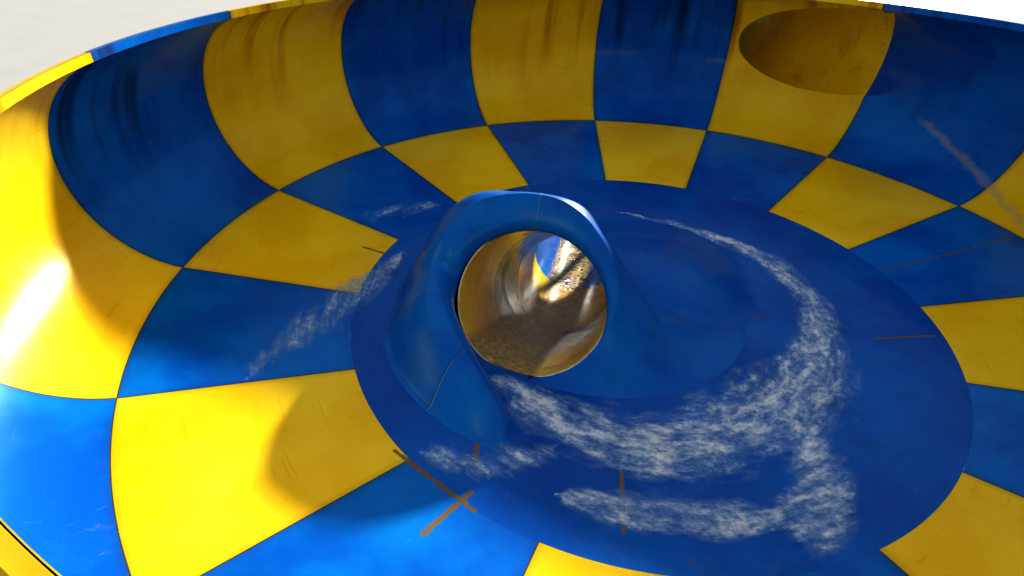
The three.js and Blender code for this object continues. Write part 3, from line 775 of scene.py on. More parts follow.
def skirt_point(section, angle, reach):
    """A point of the skirt at a distance out from the rolled edge: a slope that steepens on the
    steep side, an apron that fades into the floor on the other, both merged with the hood."""
    point = roll_point(section, ROLL_START - ROLL_TURN)
    stand = point[:, 2] - floor_under(point) + SKIRT_BURIED
    point[:, 0] += reach * np.cos(angle)
    point[:, 1] += reach * np.sin(angle)
    foot = floor_under(point) - SKIRT_BURIED
    left = np.clip(1 - reach / (APRON_REACH * stand + SKIRT_BURIED), 0, 1)
    apron = foot + stand * left ** 2
    slope = np.maximum(point[:, 2] - SKIRT_SLOPE * reach - SKIRT_CURVE * reach ** 2, foot)
    point[:, 2] = apron + (slope - apron) * section["steep"]
    point[:, 2] = over_hood(point)
    return point


def skirt_lengths(section, angle):
    """How far the skirt runs out at each angle before it meets the floor: by equal steps first,
    then by halving the last of them."""

    def buried(reach):
        point = skirt_point(section, angle, reach)
        return point[:, 2] <= floor_under(point)

    far = np.full(len(angle), SKIRT_STEP)
    for reach in np.arange(SKIRT_STEP, SKIRT_REACH, SKIRT_STEP):
        far = np.where(buried(reach), far, reach + SKIRT_STEP)
    return halved(far - SKIRT_STEP, far, buried, 8)


def hood_grid():
    """The hood's rows of points: from the mouth's edge, over the rolled edge, out over the bell
    to a last row under the floor, each row closed round the mouth."""
    angle = math.radians(HOOD_FIRST) + circle(HOOD_SIDES)
    section = roll_sections(angle)
    edge = leaning(MOUTH_EDGE * np.cos(angle), MOUTH_EDGE * np.sin(angle))
    start = roll_point(section, ROLL_START)
    foot = start.copy()
    foot[:, 2] = floor_under(start) - SKIRT_BURIED
    rows = [edge, blend((start + edge) / 2, foot, section["share"])]
    for i in range(ROLL_ROWS + 1):
        point = roll_point(section, ROLL_START - ROLL_TURN * i / ROLL_ROWS)
        outer = max(2 * i / ROLL_ROWS - 1, 0)
        point[:, 2] += (over_hood(point) - point[:, 2]) * outer ** 2
        rows.append(point)
    length = skirt_lengths(section, angle)
    for i in range(1, SKIRT_ROWS + 1):
        rows.append(skirt_point(section, angle, length * (i / SKIRT_ROWS) ** SKIRT_POWER))
    last = skirt_point(section, angle, length + 2 * SKIRT_BURIED)
    last[:, 2] = floor_under(last) - 2 * SKIRT_BURIED
    return np.stack([*rows, last])


def dome_grid():
    """The low dome laid over the floor, out to just under it: its height falls as a power of one
    minus the square of the share of its radius."""
    share = (DOME_PAST * np.linspace(0.01, 1, DOME_ROWS))[:, None]
    away = DOME_RADIUS * share
    across = DOME_CENTRE[0] + away * np.cos(circle(DOME_SIDES))
    along = DOME_CENTRE[1] + away * np.sin(circle(DOME_SIDES))
    inside = np.maximum(1 - share ** 2, 0)
    above = DOME_HEIGHT * inside ** DOME_POWER - 0.5 * np.maximum(share - 0.99, 0)
    plan = stacked(across, along, 0.0)
    return stacked(across, along, floor_under(plan) + above)


def on_floor(grid):
    """Eases a grid of the tunnel's plan into the floor with a small fillet and ends it just under
    the floor's face: half the sum of the height and the root of its square plus the fillet's."""
    floor = floor_under(grid)
    above = grid[..., 2] - floor
    eased = 0.5 * (above + np.sqrt(above ** 2 + 4 * FILLET ** 2)) - FILLET * 0.45
    return stacked(grid[..., 0], grid[..., 1], floor + eased)


def exit_cowl(finish):
    """The cowl's hood and dome, each a sheet with its real thickness, in one piece. Their places
    on the sheet are the degrees round the mouth, which the dome has none of."""
    shells = []
    hood_turn = HOOD_FIRST + np.arange(HOOD_SIDES) * 360 / HOOD_SIDES
    for grid, turn in ((hood_grid(), hood_turn), (dome_grid(), np.full(DOME_SIDES, -360.0))):
        outer = on_floor(grid)
        solid = slab(place_exit(outer), place_exit(outer - [0, 0, COWL_SKIN]), closed=True)
        place = stacked(np.tile(turn, 2 * len(grid)), 0.0)
        shells.append(add_mesh("exit_cowl", *solid, place, sharp=60))
    cutter = rod(in_tunnel, -1.0, EXIT_DROP_LENGTH, MOUTH_EDGE)
    cut_by(shells[1], cutter)
    bpy.data.objects.remove(cutter)
    finish_piece(merged(shells, "exit_cowl_moulding"), finish, ("exit_cowl",))


def mouth_bead(finish):
    """A pale bead round the mouth's edge: a small circle carried round the mouth's circle."""
    turn = circle(BEAD_SIDES)
    around = np.linspace(0.15, math.pi - 0.15, 6)[:, None]
    radius = MOUTH_EDGE - BEAD / 2 + BEAD * np.cos(around)
    middle = leaning(radius * np.cos(turn), radius * np.sin(turn))
    halves = [
        place_exit(middle + lean_normal() * (sign * BEAD * np.sin(around))[..., None])
        for sign in (1, -1)
    ]
    finish_piece(add_mesh("mouth_bead", *slab(*halves, closed=True)), finish)


# Bolts


def bolt_heads(places, axes, size=1.0):
    """Hexagon heads on washers, one at each place along its unit axis: rings of six points at
    place + axis * rise + (side * cos + cross * sin) * radius, closed by two quads at each end."""
    helper = np.where(np.abs(axes[:, 2:]) < 0.9, [[0, 0, 1.0]], [[1.0, 0, 0]])
    side = unit(np.cross(axes, helper))
    cross = np.cross(axes, side)
    turn = circle(6)[:, None]
    ring = side[:, None] * np.cos(turn) + cross[:, None] * np.sin(turn)
    rise, radius = (size * np.array(column)[:, None, None] for column in zip(*BOLT_HEAD))
    points = places[:, None, None] + axes[:, None, None] * rise + ring[:, None] * radius
    rows = len(BOLT_HEAD)
    cap = np.array([[0, 1, 2, 3], [0, 3, 4, 5]])
    sides = grid_faces(rows, 6, closed=True)[:, ::-1]
    one = np.concatenate([sides, cap[:, ::-1], cap + 6 * rows - 6])
    faces = one + np.arange(len(places))[:, None, None] * 6 * rows
    return points.reshape(-1, 3), faces.reshape(-1, 4)


def both_sides(middle, axis, half):
    """Heads on both sides of a joint: half its thickness away from its middle, facing out."""
    places = np.concatenate([middle + axis * half, middle - axis * half])
    return places, np.concatenate([axis, -axis])


def seam_bolts(line):
    """Bolts at an even spacing through the flanges of every seam between two panels."""
    length = lengths_of(line)
    count = int(length[-1] / BOLT_SPACING)
    at = (np.arange(count) + 0.5) * length[-1] / count
    places, out = (
        stacked(*(np.interp(at, length, part[:, k]) for k in (0, 1)))
        for part in (line, normals_of(line))
    )
    seams = FIRST_SEAM + np.arange(PANELS) * SEAM_STEP
    middle = turned(places + out * BOLT_REACH, seams).reshape(-1, 3)
    seams = np.tile(seams, len(places))
    axis = stacked(-np.sin(seams), np.cos(seams), 0.0)
    return both_sides(middle, axis, FLANGE * 1.05)


def ring_bolts(line):
    """Bolts through the flanges of the ring joint at the start of a line."""
    place = line[0] + normals_of(line)[0] * BOLT_REACH
    count = int(math.tau * place[0] / BOLT_SPACING / PANELS) * PANELS
    angle = FIRST_SEAM + (np.arange(count) + 0.5) * math.tau / count
    middle = turned(place[None], angle)[0]
    axis = turned(unit(line[1] - line[0])[None], angle)[0] - AXIS
    return both_sides(middle, axis, FLANGE + GAP)


def tube_bolts(tube, joints, radius):
    """Bolts round a tube's flange joints, at each distance along its middle line."""
    count = int(math.tau * radius / BOLT_SPACING)
    pairs = []
    for joint in joints:
        before, at, after = rings(tube, [joint - 0.01, joint, joint + 0.01], [radius] * 3, count)
        pairs.append(both_sides(at, unit(after - before), FLANGE + GAP))
    return [np.concatenate(part) for part in zip(*pairs)]


def anchor_bolts():
    """Four anchor nuts on each base plate, round a foot and turned with it."""
    frames = FIRST_SEAM + (2 * np.arange(FRAMES) + 1) * SEAM_STEP
    exit_middle = in_tunnel(EXIT_LENGTH - PORTAL_SET_BACK, 0, 0)
    inlet_middle = in_flume(FLUME_END - PORTAL_SET_BACK, 0, 0)
    feet = [(AXIS, turn, FRAME_RADIUS) for turn in frames]
    feet += [(exit_middle, EXIT_TURN, leg) for leg in (EXIT_LEG, -EXIT_LEG)]
    feet += [(inlet_middle, FLUME_ANGLE, leg) for leg in (INLET_LEG, -INLET_LEG)]
    corners = np.array([[1, 1], [1, -1], [-1, -1], [-1, 1]]) * ANCHOR_REACH
    places = []
    for middle, turn, away in feet:
        foot = middle + away * np.array([math.cos(turn), math.sin(turn), 0])
        x, y = turn_plan(corners[:, 0], corners[:, 1], turn)
        places.append(stacked(foot[0] + x, foot[1] + y, BASE_THICKNESS))
    places = np.concatenate(places)
    return places, np.tile([0, 0, 1.0], (len(places), 1))


def bolts(finish):
    """All bolts: those of the panels, those of the tubes and those of the base plates."""
    wall, course = wall_line(), course_line()
    panels = [seam_bolts(wall), seam_bolts(course), ring_bolts(wall), ring_bolts(course)]
    tubes = [
        tube_bolts(in_tunnel, EXIT_JOINTS, EXIT_BORE + BOLT_REACH),
        tube_bolts(in_flume, (FLUME_JOINT,), FLUME_BORE + FLUME_BOLT_REACH),
    ]
    for name, groups, size in (
        ("panel_bolts", panels, 1.0),
        ("tube_bolts", tubes, 1.0),
        ("anchor_nuts", [anchor_bolts()], ANCHOR_SIZE),
    ):
        places, axes = (np.concatenate(part) for part in zip(*groups))
        piece = add_mesh(name, *bolt_heads(places, axes, size), sharp=25)
        finish_piece(piece, finish, ())


# Running water


def soft_noise(x, y, size, seed):
    """Value noise from 0 to 1: seeded random numbers on a square grid of the given size, eased
    between its points by t * t * (3 - 2 * t) both ways."""
    numbers = np.random.default_rng(seed).random((NOISE_GRID, NOISE_GRID))
    column, row = np.floor(x / size).astype(int), np.floor(y / size).astype(int)
    s, t = smooth(x / size - column, 0, 1), smooth(y / size - row, 0, 1)

    def along_row(row):
        first, second = (numbers[at % NOISE_GRID, row % NOISE_GRID] for at in (column, column + 1))
        return first * (1 - s) + second * s

    return along_row(row) * (1 - t) + along_row(row + 1) * t


def churn(x, y, size, seed):
    """Four sizes of value noise added up, each half the size and 0.6 of the strength before."""
    total = sum(0.6 ** k * soft_noise(x, y, size / 2 ** k, seed + k) for k in range(4))
    return total / sum(0.6 ** k for k in range(4))


def stream_density(x, y):
    """How thick the foam lies at each place: its strength on a stream's middle line, less the
    square of the share of the way out to its half width times the spread."""
    density = np.zeros_like(x)
    for strength, *stream in FOAM_STREAMS:
        count = len(stream[0])
        share = np.linspace(0, count - 1, 18 * count)
        turn, radius, half = (np.interp(share, np.arange(count), part) for part in stream)
        ends = np.clip(np.minimum(share, count - 1 - share) * 3, 0.25, 1)
        middle_x, middle_y = radius * np.cos(np.radians(turn)), radius * np.sin(np.radians(turn))
        for cx, cy, w in zip(middle_x, middle_y, half * ends):
            share_out = ((x - cx) ** 2 + (y - cy) ** 2) / (FOAM_SPREAD * w) ** 2
            density = np.maximum(density, strength * (1 - share_out))
    return density


def floor_foam(finish):
    """Foam on the floor: a square grid laid on the floor's height, lifted by the density times
    the churn, kept where the density is above the least."""
    x, y = np.meshgrid(
        *(np.arange(low, high, FOAM_CELL) for low, high in zip(FOAM_LOW, FOAM_HIGH)), indexing="ij"
    )
    bent = [
        at + FOAM_BEND * (churn(x, y, FOAM_BEND_SIZE, seed) - 0.5)
        for at, seed in ((x, 11), (y, 21))
    ]
    density = stream_density(*bent)
    rise = FOAM_HEIGHT * np.maximum(density, 0) * churn(x, y, FOAM_CHURN_SIZE, 31) ** 1.5
    z = floor_height(np.hypot(x, y)) + FOAM_CLEAR + rise
    points = stacked(x, y, z).reshape(-1, 3) + AXIS
    faces = grid_faces(*x.shape)
    flat = density.ravel()
    faces = faces[(flat[faces] > FOAM_LEAST).any(axis=1)]
    used, faces = np.unique(faces, return_inverse=True)
    piece = add_mesh("floor_foam", points[used], faces.reshape(-1, 4), sharp=180)
    add_values(piece, "foam_cover", np.clip(flat[used], 0, 1))
    finish_piece(piece, finish)


def tunnel_water(finish):
    """Water that runs down the tunnel: a strip of the bore's wall, thick in its middle, with
    ripples. Its radius is bore - depth * (1 - share ** 2) - ripple."""
    share = np.linspace(-1, 1, WATER_COLUMNS)[None, :]
    turn = WATER_MIDDLE + WATER_HALF * share
    start = plane_distance(EXIT_BORE * np.sin(turn)) + 0.01
    along = start + (EXIT_LENGTH - start) * np.linspace(0, 1, WATER_ROWS)[:, None]
    turn = turn + WATER_TURN * smooth(along, *WATER_TURNS)
    edge = 1 - share ** 2
    ripple = WATER_RIPPLE * edge * churn(along, turn * EXIT_BORE * 1.6, WATER_RIPPLE_SIZE, 41)
    depth = (WATER_DEPTH * edge + ripple) * (0.15 + 0.85 * smooth(along - start, 0, 0.8))
    radius = EXIT_BORE - 0.001 - depth
    points = in_tunnel(along, radius * np.cos(turn), radius * np.sin(turn))
    faces = grid_faces(WATER_ROWS, WATER_COLUMNS)
    piece = add_mesh("tunnel_water", points.reshape(-1, 3), faces, sharp=180)
    cover = np.broadcast_to(np.clip(2.2 * edge, 0, 1), turn.shape)
    add_values(piece, "water_cover", cover.ravel())
    finish_piece(piece, finish)


# Materials


def operator(name, swapped=False):
    """A method of Socket that adds one math node."""

    def method(self, *others):
        values = [*others, self] if swapped else [self, *others]
        return self.paint.add("ShaderNodeMath", {"operation": name}, values)

    return method


class Socket:
    """A value in a material's node tree that Python's operators work on."""

    def __init__(self, paint, socket):
        self.paint = paint
        self.socket = socket

    __add__ = __radd__ = operator("ADD")
    __sub__ = operator("SUBTRACT")
    __rsub__ = operator("SUBTRACT", True)
    __mul__ = operator("MULTIPLY")
    __truediv__ = operator("DIVIDE")
    power = operator("POWER")
    least = operator("MINIMUM")
    most = operator("MAXIMUM")
    absolute = operator("ABSOLUTE")
    arctan2 = operator("ARCTAN2")
    ping_pong = operator("PINGPONG")


class Paint:
    """One material: its node tree, the ways in which its nodes are made, and its tone, which
    colours are laid over one by one."""

    def __init__(self, name, settings):
        self.material = bpy.data.materials.new(name)
        self.material.use_nodes = True
        self.nodes = self.material.node_tree.nodes
        self.links = self.material.node_tree.links
        self.nodes.clear()
        self.shader = self.nodes.new("ShaderNodeBsdfPrincipled")
        self.fill(self.shader, settings)
        output = self.nodes.new("ShaderNodeOutputMaterial")
        self.links.new(self.shader.outputs[0], output.inputs["Surface"])
        self.place = self.add("ShaderNodeTexCoord", output="Object")
        self.tone = None

    def fill(self, node, values):
        """Sets or links a node's inputs, given by name or in order."""
        pairs = values.items() if isinstance(values, dict) else enumerate(values)
        for key, value in pairs:
            if isinstance(value, Socket):
                self.links.new(value.socket, node.inputs[key])
            else:
                node.inputs[key].default_value = value

    def add(self, kind, settings=None, values=(), output=0):
        """Any node: its settings first, then its inputs; returns one output."""
        node = self.nodes.new(kind)
        for key, value in (settings or {}).items():
            setattr(node, key, value)
        self.fill(node, values)
        return Socket(self, node.outputs[output])

    def mix(self, share, first, second):
        """A colour between two, by a share."""
        first, second = (v if isinstance(v, Socket) else (*v, 1) for v in (first, second))
        values = {0: share, 6: first, 7: second}
        return self.add("ShaderNodeMix", {"data_type": "RGBA"}, values, output=2)

    def lay(self, share, colour):
        """Lays a colour over the tone, by a share."""
        self.tone = self.mix(share, self.tone, colour)

    def noise(self, scale, detail=4, roughness=0.55, stretch=(1, 1, 1), source=None):
        """Fractal noise about 0.5, stretched along the axes of its source."""
        mapping = {"Vector": source or self.place, "Scale": stretch}
        vector = self.add("ShaderNodeMapping", {}, mapping)
        values = {"Vector": vector, "Scale": scale, "Detail": detail, "Roughness": roughness}
        return self.add("ShaderNodeTexNoise", {}, values)

    def cells(self, scale, output="Distance"):
        values = {"Vector": self.place, "Scale": scale}
        return self.add("ShaderNodeTexVoronoi", {}, values, output=output)

    def ease(self, value, low, high):
        """A mask that eases from 0 at low to 1 at high, which may be the lesser of the two."""
        values = {"Value": value, "From Min": low, "From Max": high}
        return self.add("ShaderNodeMapRange", {"interpolation_type": "SMOOTHSTEP"}, values)

    def patches(self, low, high, **noise):
        """A mask of patches: noise eased from 0 at low to 1 at high."""
        return self.ease(self.noise(**noise), low, high)

    def fade(self, first, second, low, high, **noise):
        """Starts the tone, between two colours by noise, and returns the noise."""
        broad = self.noise(**noise)
        self.tone = self.mix(self.ease(broad, low, high), first, second)
        return broad

    def stain(self, colour, share, low, high, **noise):
        """Lays a share of a colour over the tone in patches, and returns their mask."""
        mask = self.patches(low, high, **noise)
        self.lay(mask * share, colour)
        return mask

    def attribute(self, name):
        return self.add("ShaderNodeAttribute", {"attribute_name": name}, output="Fac")

    def sheet(self):
        """The piece's own places on its sheet, and those places' two numbers."""
        places = self.add("ShaderNodeUVMap", {"uv_map": "sheet"})
        return places, *self.split(places)[:2]

    def split(self, vector):
        node = self.nodes.new("ShaderNodeSeparateXYZ")
        self.links.new(vector.socket, node.inputs[0])
        return [Socket(self, output) for output in node.outputs]

    def plan(self):
        """Place in plan, measured from the bowl's axis."""
        x, y, _ = self.split(self.place)
        return x - float(AXIS[0]), y - float(AXIS[1])

    def round_axis(self):
        """Distance from the bowl's axis, and the share of the way from one seam to the next."""
        x, y = self.plan()
        turns = y.arctan2(x) / SEAM_STEP - FIRST_SEAM / SEAM_STEP
        return length_of(x, y), turns

    def polar(self, outward, around):
        """Places counted outward and round the bowl's axis, for noise drawn out round it."""
        radius, turns = self.round_axis()
        return self.add("ShaderNodeCombineXYZ", {}, [radius * outward, turns * around, 0.0])

    def done(self, roughness, *bumps, **inputs):
        """Feeds the shader its tone, its roughness, its bumps, each (height, strength, distance)
        and laid over the one before, and any other inputs. Returns the material."""
        inputs = {key.replace("_", " "): value for key, value in inputs.items()}
        lift = {}
        for height, strength, distance in bumps:
            values = {"Strength": strength, "Distance": distance, "Height": height, **lift}
            lift = {"Normal": self.add("ShaderNodeBump", {}, values)}
        inputs = {"Base Color": self.tone, "Roughness": roughness, **lift, **inputs}
        self.fill(self.shader, inputs)
        return self.material


def length_of(x, y):
    return (x * x + y * y).power(0.5)


def gloss(coat_roughness, specular, sheen):
    """The settings of a coated gelcoat that are the same all over."""
    return {
        "Coat Roughness": coat_roughness, "Specular IOR Level": specular, "Specular Tint": sheen
    }


def mark(paint):
    """Brown marks where the floor was scraped and mended: lines in plan, worn through by noise."""
    x, y = paint.plan()
    marks = []
    for start, end, half in MARKS:
        run = (end[0] - start[0], end[1] - start[1])
        length = run[0] ** 2 + run[1] ** 2
        from_x, from_y = x - start[0], y - start[1]
        share = (from_x * (run[0] / length) + from_y * (run[1] / length)).most(0.0).least(1.0)
        marks.append(length_of(from_x - share * run[0], from_y - share * run[1]) / half)
    worn = (paint.noise(9.0, detail=5, roughness=0.75) - 0.5) * 3.4
    paint.lay(paint.ease(reduce(Socket.least, marks) + worn, 1.2, 0.7) * 0.92, MARK_TONE)


def panel_gelcoat(name, colour, faded, stain, sheen, streaks):
    """Gelcoat of the checkered panels: faded in broad patches, run down by streaks from the rim,
    dark along its seams, scratched round the bowl, wet with droplets whose glints are painted in
    pale, and pale where the flume's water runs."""
    paint = Paint(name, gloss(coat_roughness=0.06, specular=0.35, sheen=sheen))
    sheet, around, up = paint.sheet()
    broad = paint.fade(colour, faded, 0.36, 0.66, scale=0.55, detail=5, roughness=0.6)
    runs = paint.patches(
        0.45, 0.68, scale=1.0, detail=4, roughness=0.5, stretch=(3.2, 0.14, 1), source=sheet
    )
    height = paint.ease(up, 1.0, 3.4)
    stained = paint.patches(
        0.38, 0.6, scale=0.5, detail=3, roughness=0.5, stretch=(1, 0.5, 1), source=sheet
    )
    running = runs * height * stained * streaks
    paint.lay(running, stain)
    fine = paint.patches(
        0.58, 0.8, scale=3.0, detail=3, roughness=0.7, stretch=(16, 0.12, 1), source=sheet
    )
    paint.lay(fine * height * (0.35 * streaks), GRIME)
    radius, turns = paint.round_axis()
    seam = (turns.ping_pong(0.5) * SEAM_STEP * radius).least(up.absolute())
    edge = paint.ease(seam, 0.011, 0.004)
    paint.lay(paint.ease(seam + paint.noise(3.0, detail=4) * 0.05, 0.14, 0.03) * 0.22, GRIME)
    paint.lay(edge * 0.85, GRIME)
    paint.lay(paint.ease(paint.cells(9.0), 0.16, 0.08) * paint.ease(broad, 0.5, 0.6) * 0.12, stain)
    scratches = paint.stain(
        GRIME, 0.18, 0.66, 0.72,
        scale=2.2, detail=2, roughness=0.5, stretch=(0.35, 14, 1), source=sheet,
    )
    # Water droplets with a painted glint: pale bluish spots laid into the colour for the sky caught
    # in them
    drop_glints = paint.patches(
        0.58, 0.74, scale=4.5, detail=6, roughness=0.75, stretch=(1.6, 0.5, 1), source=sheet
    )
    drop_glints = drop_glints * paint.patches(0.5, 0.62, scale=0.4, detail=2, roughness=0.5)
    paint.lay(drop_glints * 0.16, (0.55, 0.68, 0.8))
    turn = around / COURSE_RADIUS
    wander = (paint.noise(2.4, detail=5, roughness=0.65) - 0.5) * RUN_WANDER
    bent = (turn - RUN_TURN) * RUN_CLIMB + RUN_HEIGHT + wander
    flow = paint.ease((up - bent).absolute(), *RUN_EDGE)
    flow = flow * paint.ease(turn, *RUN_START) * paint.ease(turn, *RUN_STOP)
    paint.lay(flow * 0.45, RUN_TONE)
    mark(paint)
    return paint.done(
        0.2 + broad * 0.16 + running * 0.22 + scratches * 0.15,
        (paint.noise(1.3, detail=2, roughness=0.4), 0.18, 0.03),
        (paint.noise(46.0, detail=2, roughness=0.5), 0.05, 0.002),
        (1 - edge, 0.5, 0.004),
        Coat_Weight=0.12 - running * 0.1,
    )


def floor_gelcoat():
    """Gelcoat of the floor: blue, scratched and stained round the bowl, marked, and wet all over,
    with painted glints on its droplets and the water's ripples in its bump."""
    paint = Paint("blue_floor_gelcoat", gloss(coat_roughness=0.05, specular=0.35, sheen=BLUE_SHEEN))
    broad = paint.fade(FLOOR_BLUE, FLOOR_FADED, 0.34, 0.68, scale=0.45, detail=5, roughness=0.6)
    paint.stain(BLUE_STAIN, 0.3, 0.52, 0.74, scale=1.6, detail=6, roughness=0.65)
    polar = paint.polar(1.0, 0.6)
    scratches = paint.stain(
        (0.02, 0.12, 0.4), 0.25, 0.6, 0.7,
        scale=3.4, detail=3, roughness=0.6, stretch=(5, 0.5, 1), source=polar,
    )
    rubbed = paint.stain((0.16, 0.1, 0.045), 0.35, 0.62, 0.7, scale=2.0, detail=6, roughness=0.7)
    # Water droplets with a painted glint: pale sky-blue spots laid into the colour for the light
    # caught in them
    drop_glints = paint.patches(0.6, 0.72, scale=13.0, detail=6, roughness=0.8)
    drop_glints = drop_glints * paint.patches(0.45, 0.6, scale=0.7, detail=3, roughness=0.5)
    paint.lay(drop_glints * 0.3, (0.3, 0.52, 0.85))
    mark(paint)
    return paint.done(
        0.16 + broad * 0.2 + scratches * 0.12,
        (paint.noise(2.6, detail=4, roughness=0.55), 0.16, 0.03),
        (paint.noise(14.0, detail=3, roughness=0.5), 0.08, 0.006),
        Coat_Weight=0.14 - rubbed * 0.1,
    )


def cowl_gelcoat():
    """Gelcoat of the cowl: a duller, greener blue with scuffs, dark clouds and the lines of its
    section joints, each a dark groove beside a pale edge."""
    paint = Paint("blue_cowl_gelcoat", gloss(coat_roughness=0.12, specular=0.45, sheen=BLUE_SHEEN))
    _, turn, _ = paint.sheet()
    broad = paint.fade(COWL_BLUE, COWL_FADED, 0.34, 0.68, scale=0.8, detail=5, roughness=0.6)
    paint.stain((0.002, 0.05, 0.16), 0.3, 0.5, 0.74, scale=2.2, detail=6, roughness=0.65)
    scuffs = paint.stain(
        (0.05, 0.2, 0.45), 0.25, 0.6, 0.7, scale=3.2, detail=6, roughness=0.7, stretch=(1, 1, 3)
    )
    away = [turn - joint for joint in COWL_JOINTS]
    groove = reduce(Socket.most, [paint.ease(a.absolute(), 0.28, 0.12) for a in away])
    pale = reduce(Socket.most, [paint.ease((a - 0.42).absolute(), 0.2, 0.06) for a in away])
    paint.lay(pale * paint.ease(broad, 0.35, 0.55) * 0.5, (0.45, 0.55, 0.62))
    paint.lay(groove * 0.8, GRIME)
    return paint.done(
        0.3 + broad * 0.14 + scuffs * 0.15,
        (paint.noise(1.6, detail=3, roughness=0.5), 0.14, 0.03),
        (1 - groove, 0.6, 0.006),
        (paint.noise(40.0, detail=2, roughness=0.5), 0.05, 0.002),
        Coat_Weight=0.14 - scuffs * 0.1,
    )


def foam_finish():
    """White water: pale, drawn out round the bowl, and torn into wisps by noise where thin."""
    paint = Paint("foam_finish", {"Specular IOR Level": 0.4})
    density = paint.attribute("foam_cover")
    wisps = paint.noise(1.0, detail=7, roughness=0.68, source=paint.polar(4.5, 2.0))
    fine = paint.noise(9.0, detail=7, roughness=0.72)
    torn = (wisps - 0.5) * 2.4 + (fine - 0.5) * 1.2
    veil = paint.ease(density + torn, 0.1, 0.9)
    crests = paint.ease(density * 0.8 + torn, 0.5, 1.15)
    paint.tone = paint.mix(crests, (0.28, 0.5, 0.86), (0.8, 0.9, 1.0))
    return paint.done(
        0.3 + fine * 0.4,
        (fine, 0.6, 0.03),
        (paint.noise(30.0, detail=4, roughness=0.6), 0.5, 0.01),
        Alpha=veil * 0.48 + crests * 0.42,
    )


def water_finish():
    """Thin running water: brown and clear, with sharp glints on its ripples, from its gloss and
    also painted into its colour as pale gold, and a few bubbles.
    """
    paint = Paint("running_water_finish", {"Specular IOR Level": 0.5})
    # Painted glints: the ripple noise mixes the colour from dark brown to pale gold, the tube's
    # gold under the water brightened as light caught on the ripples
    brown, pale = (0.02, 0.01, 0.001), (0.8, 0.58, 0.1)
    ripples = paint.fade(
        brown, pale, 0.46, 0.54, scale=8.0, detail=5, roughness=0.65, stretch=(0.8, 2.2, 2.2)
    )
    bubbles = paint.stain((0.8, 0.74, 0.55), 0.6, 0.6, 0.7, scale=18.0, detail=6, roughness=0.7)
    return paint.done(
        0.06 + bubbles * 0.3,
        (ripples, 0.9, 0.04),
        (bubbles, 0.4, 0.008),
        Alpha=paint.attribute("water_cover") * (0.7 + bubbles * 0.25),
    )


def bead_gelcoat():
    """A pale bead along the mouth's edge, yellowed and dirty in places. Its pale colour is a
    painted highlight, standing in for the light caught by the mouth's glossy lip.
    """
    paint = Paint("pale_bead_painted_highlight", {"Specular IOR Level": 0.5})
    # Painted highlight: the pale tones stand in for light caught on the mouth's glossy lip
    broad = paint.fade(
        (0.85, 0.83, 0.76), (0.6, 0.5, 0.3), 0.35, 0.7, scale=2.0, detail=5, roughness=0.6
    )
    paint.stain(GRIME, 0.5, 0.55, 0.7, scale=11.0, detail=5, roughness=0.7)
    return paint.done(0.25 + broad * 0.3, (paint.noise(24.0, detail=3, roughness=0.5), 0.3, 0.003))


def bolt_steel():
    """Zinc-plated bolts: grey, dull, rusty on some heads."""
    paint = Paint("zinc_bolt_finish", {"Specular IOR Level": 0.5})
    paint.tone = paint.mix(paint.noise(60.0, detail=3), (0.35, 0.36, 0.37), (0.55, 0.56, 0.57))
    rust = paint.stain((0.19, 0.07, 0.02), 0.85, 0.58, 0.68, scale=3.0, detail=4, roughness=0.6)
    bump = (paint.noise(90.0, detail=3, roughness=0.6), 0.2, 0.001)
    return paint.done(0.35 + rust * 0.4, bump, Metallic=0.9 - rust * 0.8)


def tube_gelcoat(name, colour, faded, stain, sheen, start=None):
    """Gelcoat of the tunnel and flume: faded, with mould runs and a wet sheen. A start colour
    covers what lies before the second seam round the bowl."""
    paint = Paint(name, gloss(coat_roughness=0.06, specular=0.3, sheen=sheen))
    broad = paint.fade(colour, faded, 0.36, 0.66, scale=0.7, detail=5, roughness=0.6)
    runs = paint.stain(
        stain, 0.4, 0.52, 0.7, scale=1.4, detail=5, roughness=0.6, stretch=(1.5, 1.5, 0.3)
    )
    if start:
        _, turns = paint.round_axis()
        paint.lay(paint.ease(turns, 2.002, 1.998), start)
    paint.stain(GRIME, 0.3, 0.62, 0.72, scale=9.0, detail=4, roughness=0.7)
    return paint.done(
        0.14 + broad * 0.16 + runs * 0.12,
        (paint.noise(2.0, detail=3, roughness=0.5), 0.2, 0.03),
        (paint.noise(38.0, detail=2, roughness=0.5), 0.06, 0.002),
        Coat_Weight=0.08 - runs * 0.06,
    )


def galvanised_steel():
    """Galvanised steel: spangle cells of different greys, white bloom, dust near the ground and a
    little rust."""
    paint = Paint("galvanised_steel_finish", {"Specular IOR Level": 0.5})
    grey, _, _ = paint.split(paint.cells(26.0, output="Color"))
    broad = paint.noise(1.1, detail=5, roughness=0.6)
    paint.tone = paint.mix(grey, (0.33, 0.35, 0.37), (0.5, 0.52, 0.54))
    paint.lay(paint.ease(broad, 0.5, 0.72) * 0.55, (0.66, 0.66, 0.64))
    _, _, height = paint.split(paint.place)
    dust = paint.ease(height + broad * 0.6, 0.9, 0.2) * 0.6
    paint.lay(dust, (0.24, 0.19, 0.13))
    paint.stain(
        (0.2, 0.17, 0.14), 0.35, 0.6, 0.72, scale=5.0, detail=5, roughness=0.6, stretch=(3, 3, 0.25)
    )
    rust = paint.stain((0.2, 0.065, 0.018), 0.8, 0.66, 0.74, scale=2.6, detail=7, roughness=0.7)
    return paint.done(
        0.42 + grey * 0.12 + rust * 0.35 + dust * 0.3,
        (grey, 0.08, 0.001),
        (paint.noise(30.0, detail=4, roughness=0.6), 0.12, 0.002),
        Metallic=(1 - rust) * (0.75 - dust * 0.6),
    )


def steel_frames(finish):
    """The CAD's steel pieces keep their solids and take the galvanised finish."""
    for name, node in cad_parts.items():
        if name.startswith("support_frame") or name in ("exit_support", "inlet_support"):
            node.data.materials.clear()
            node.data.materials.append(finish)


# Stage, light and camera


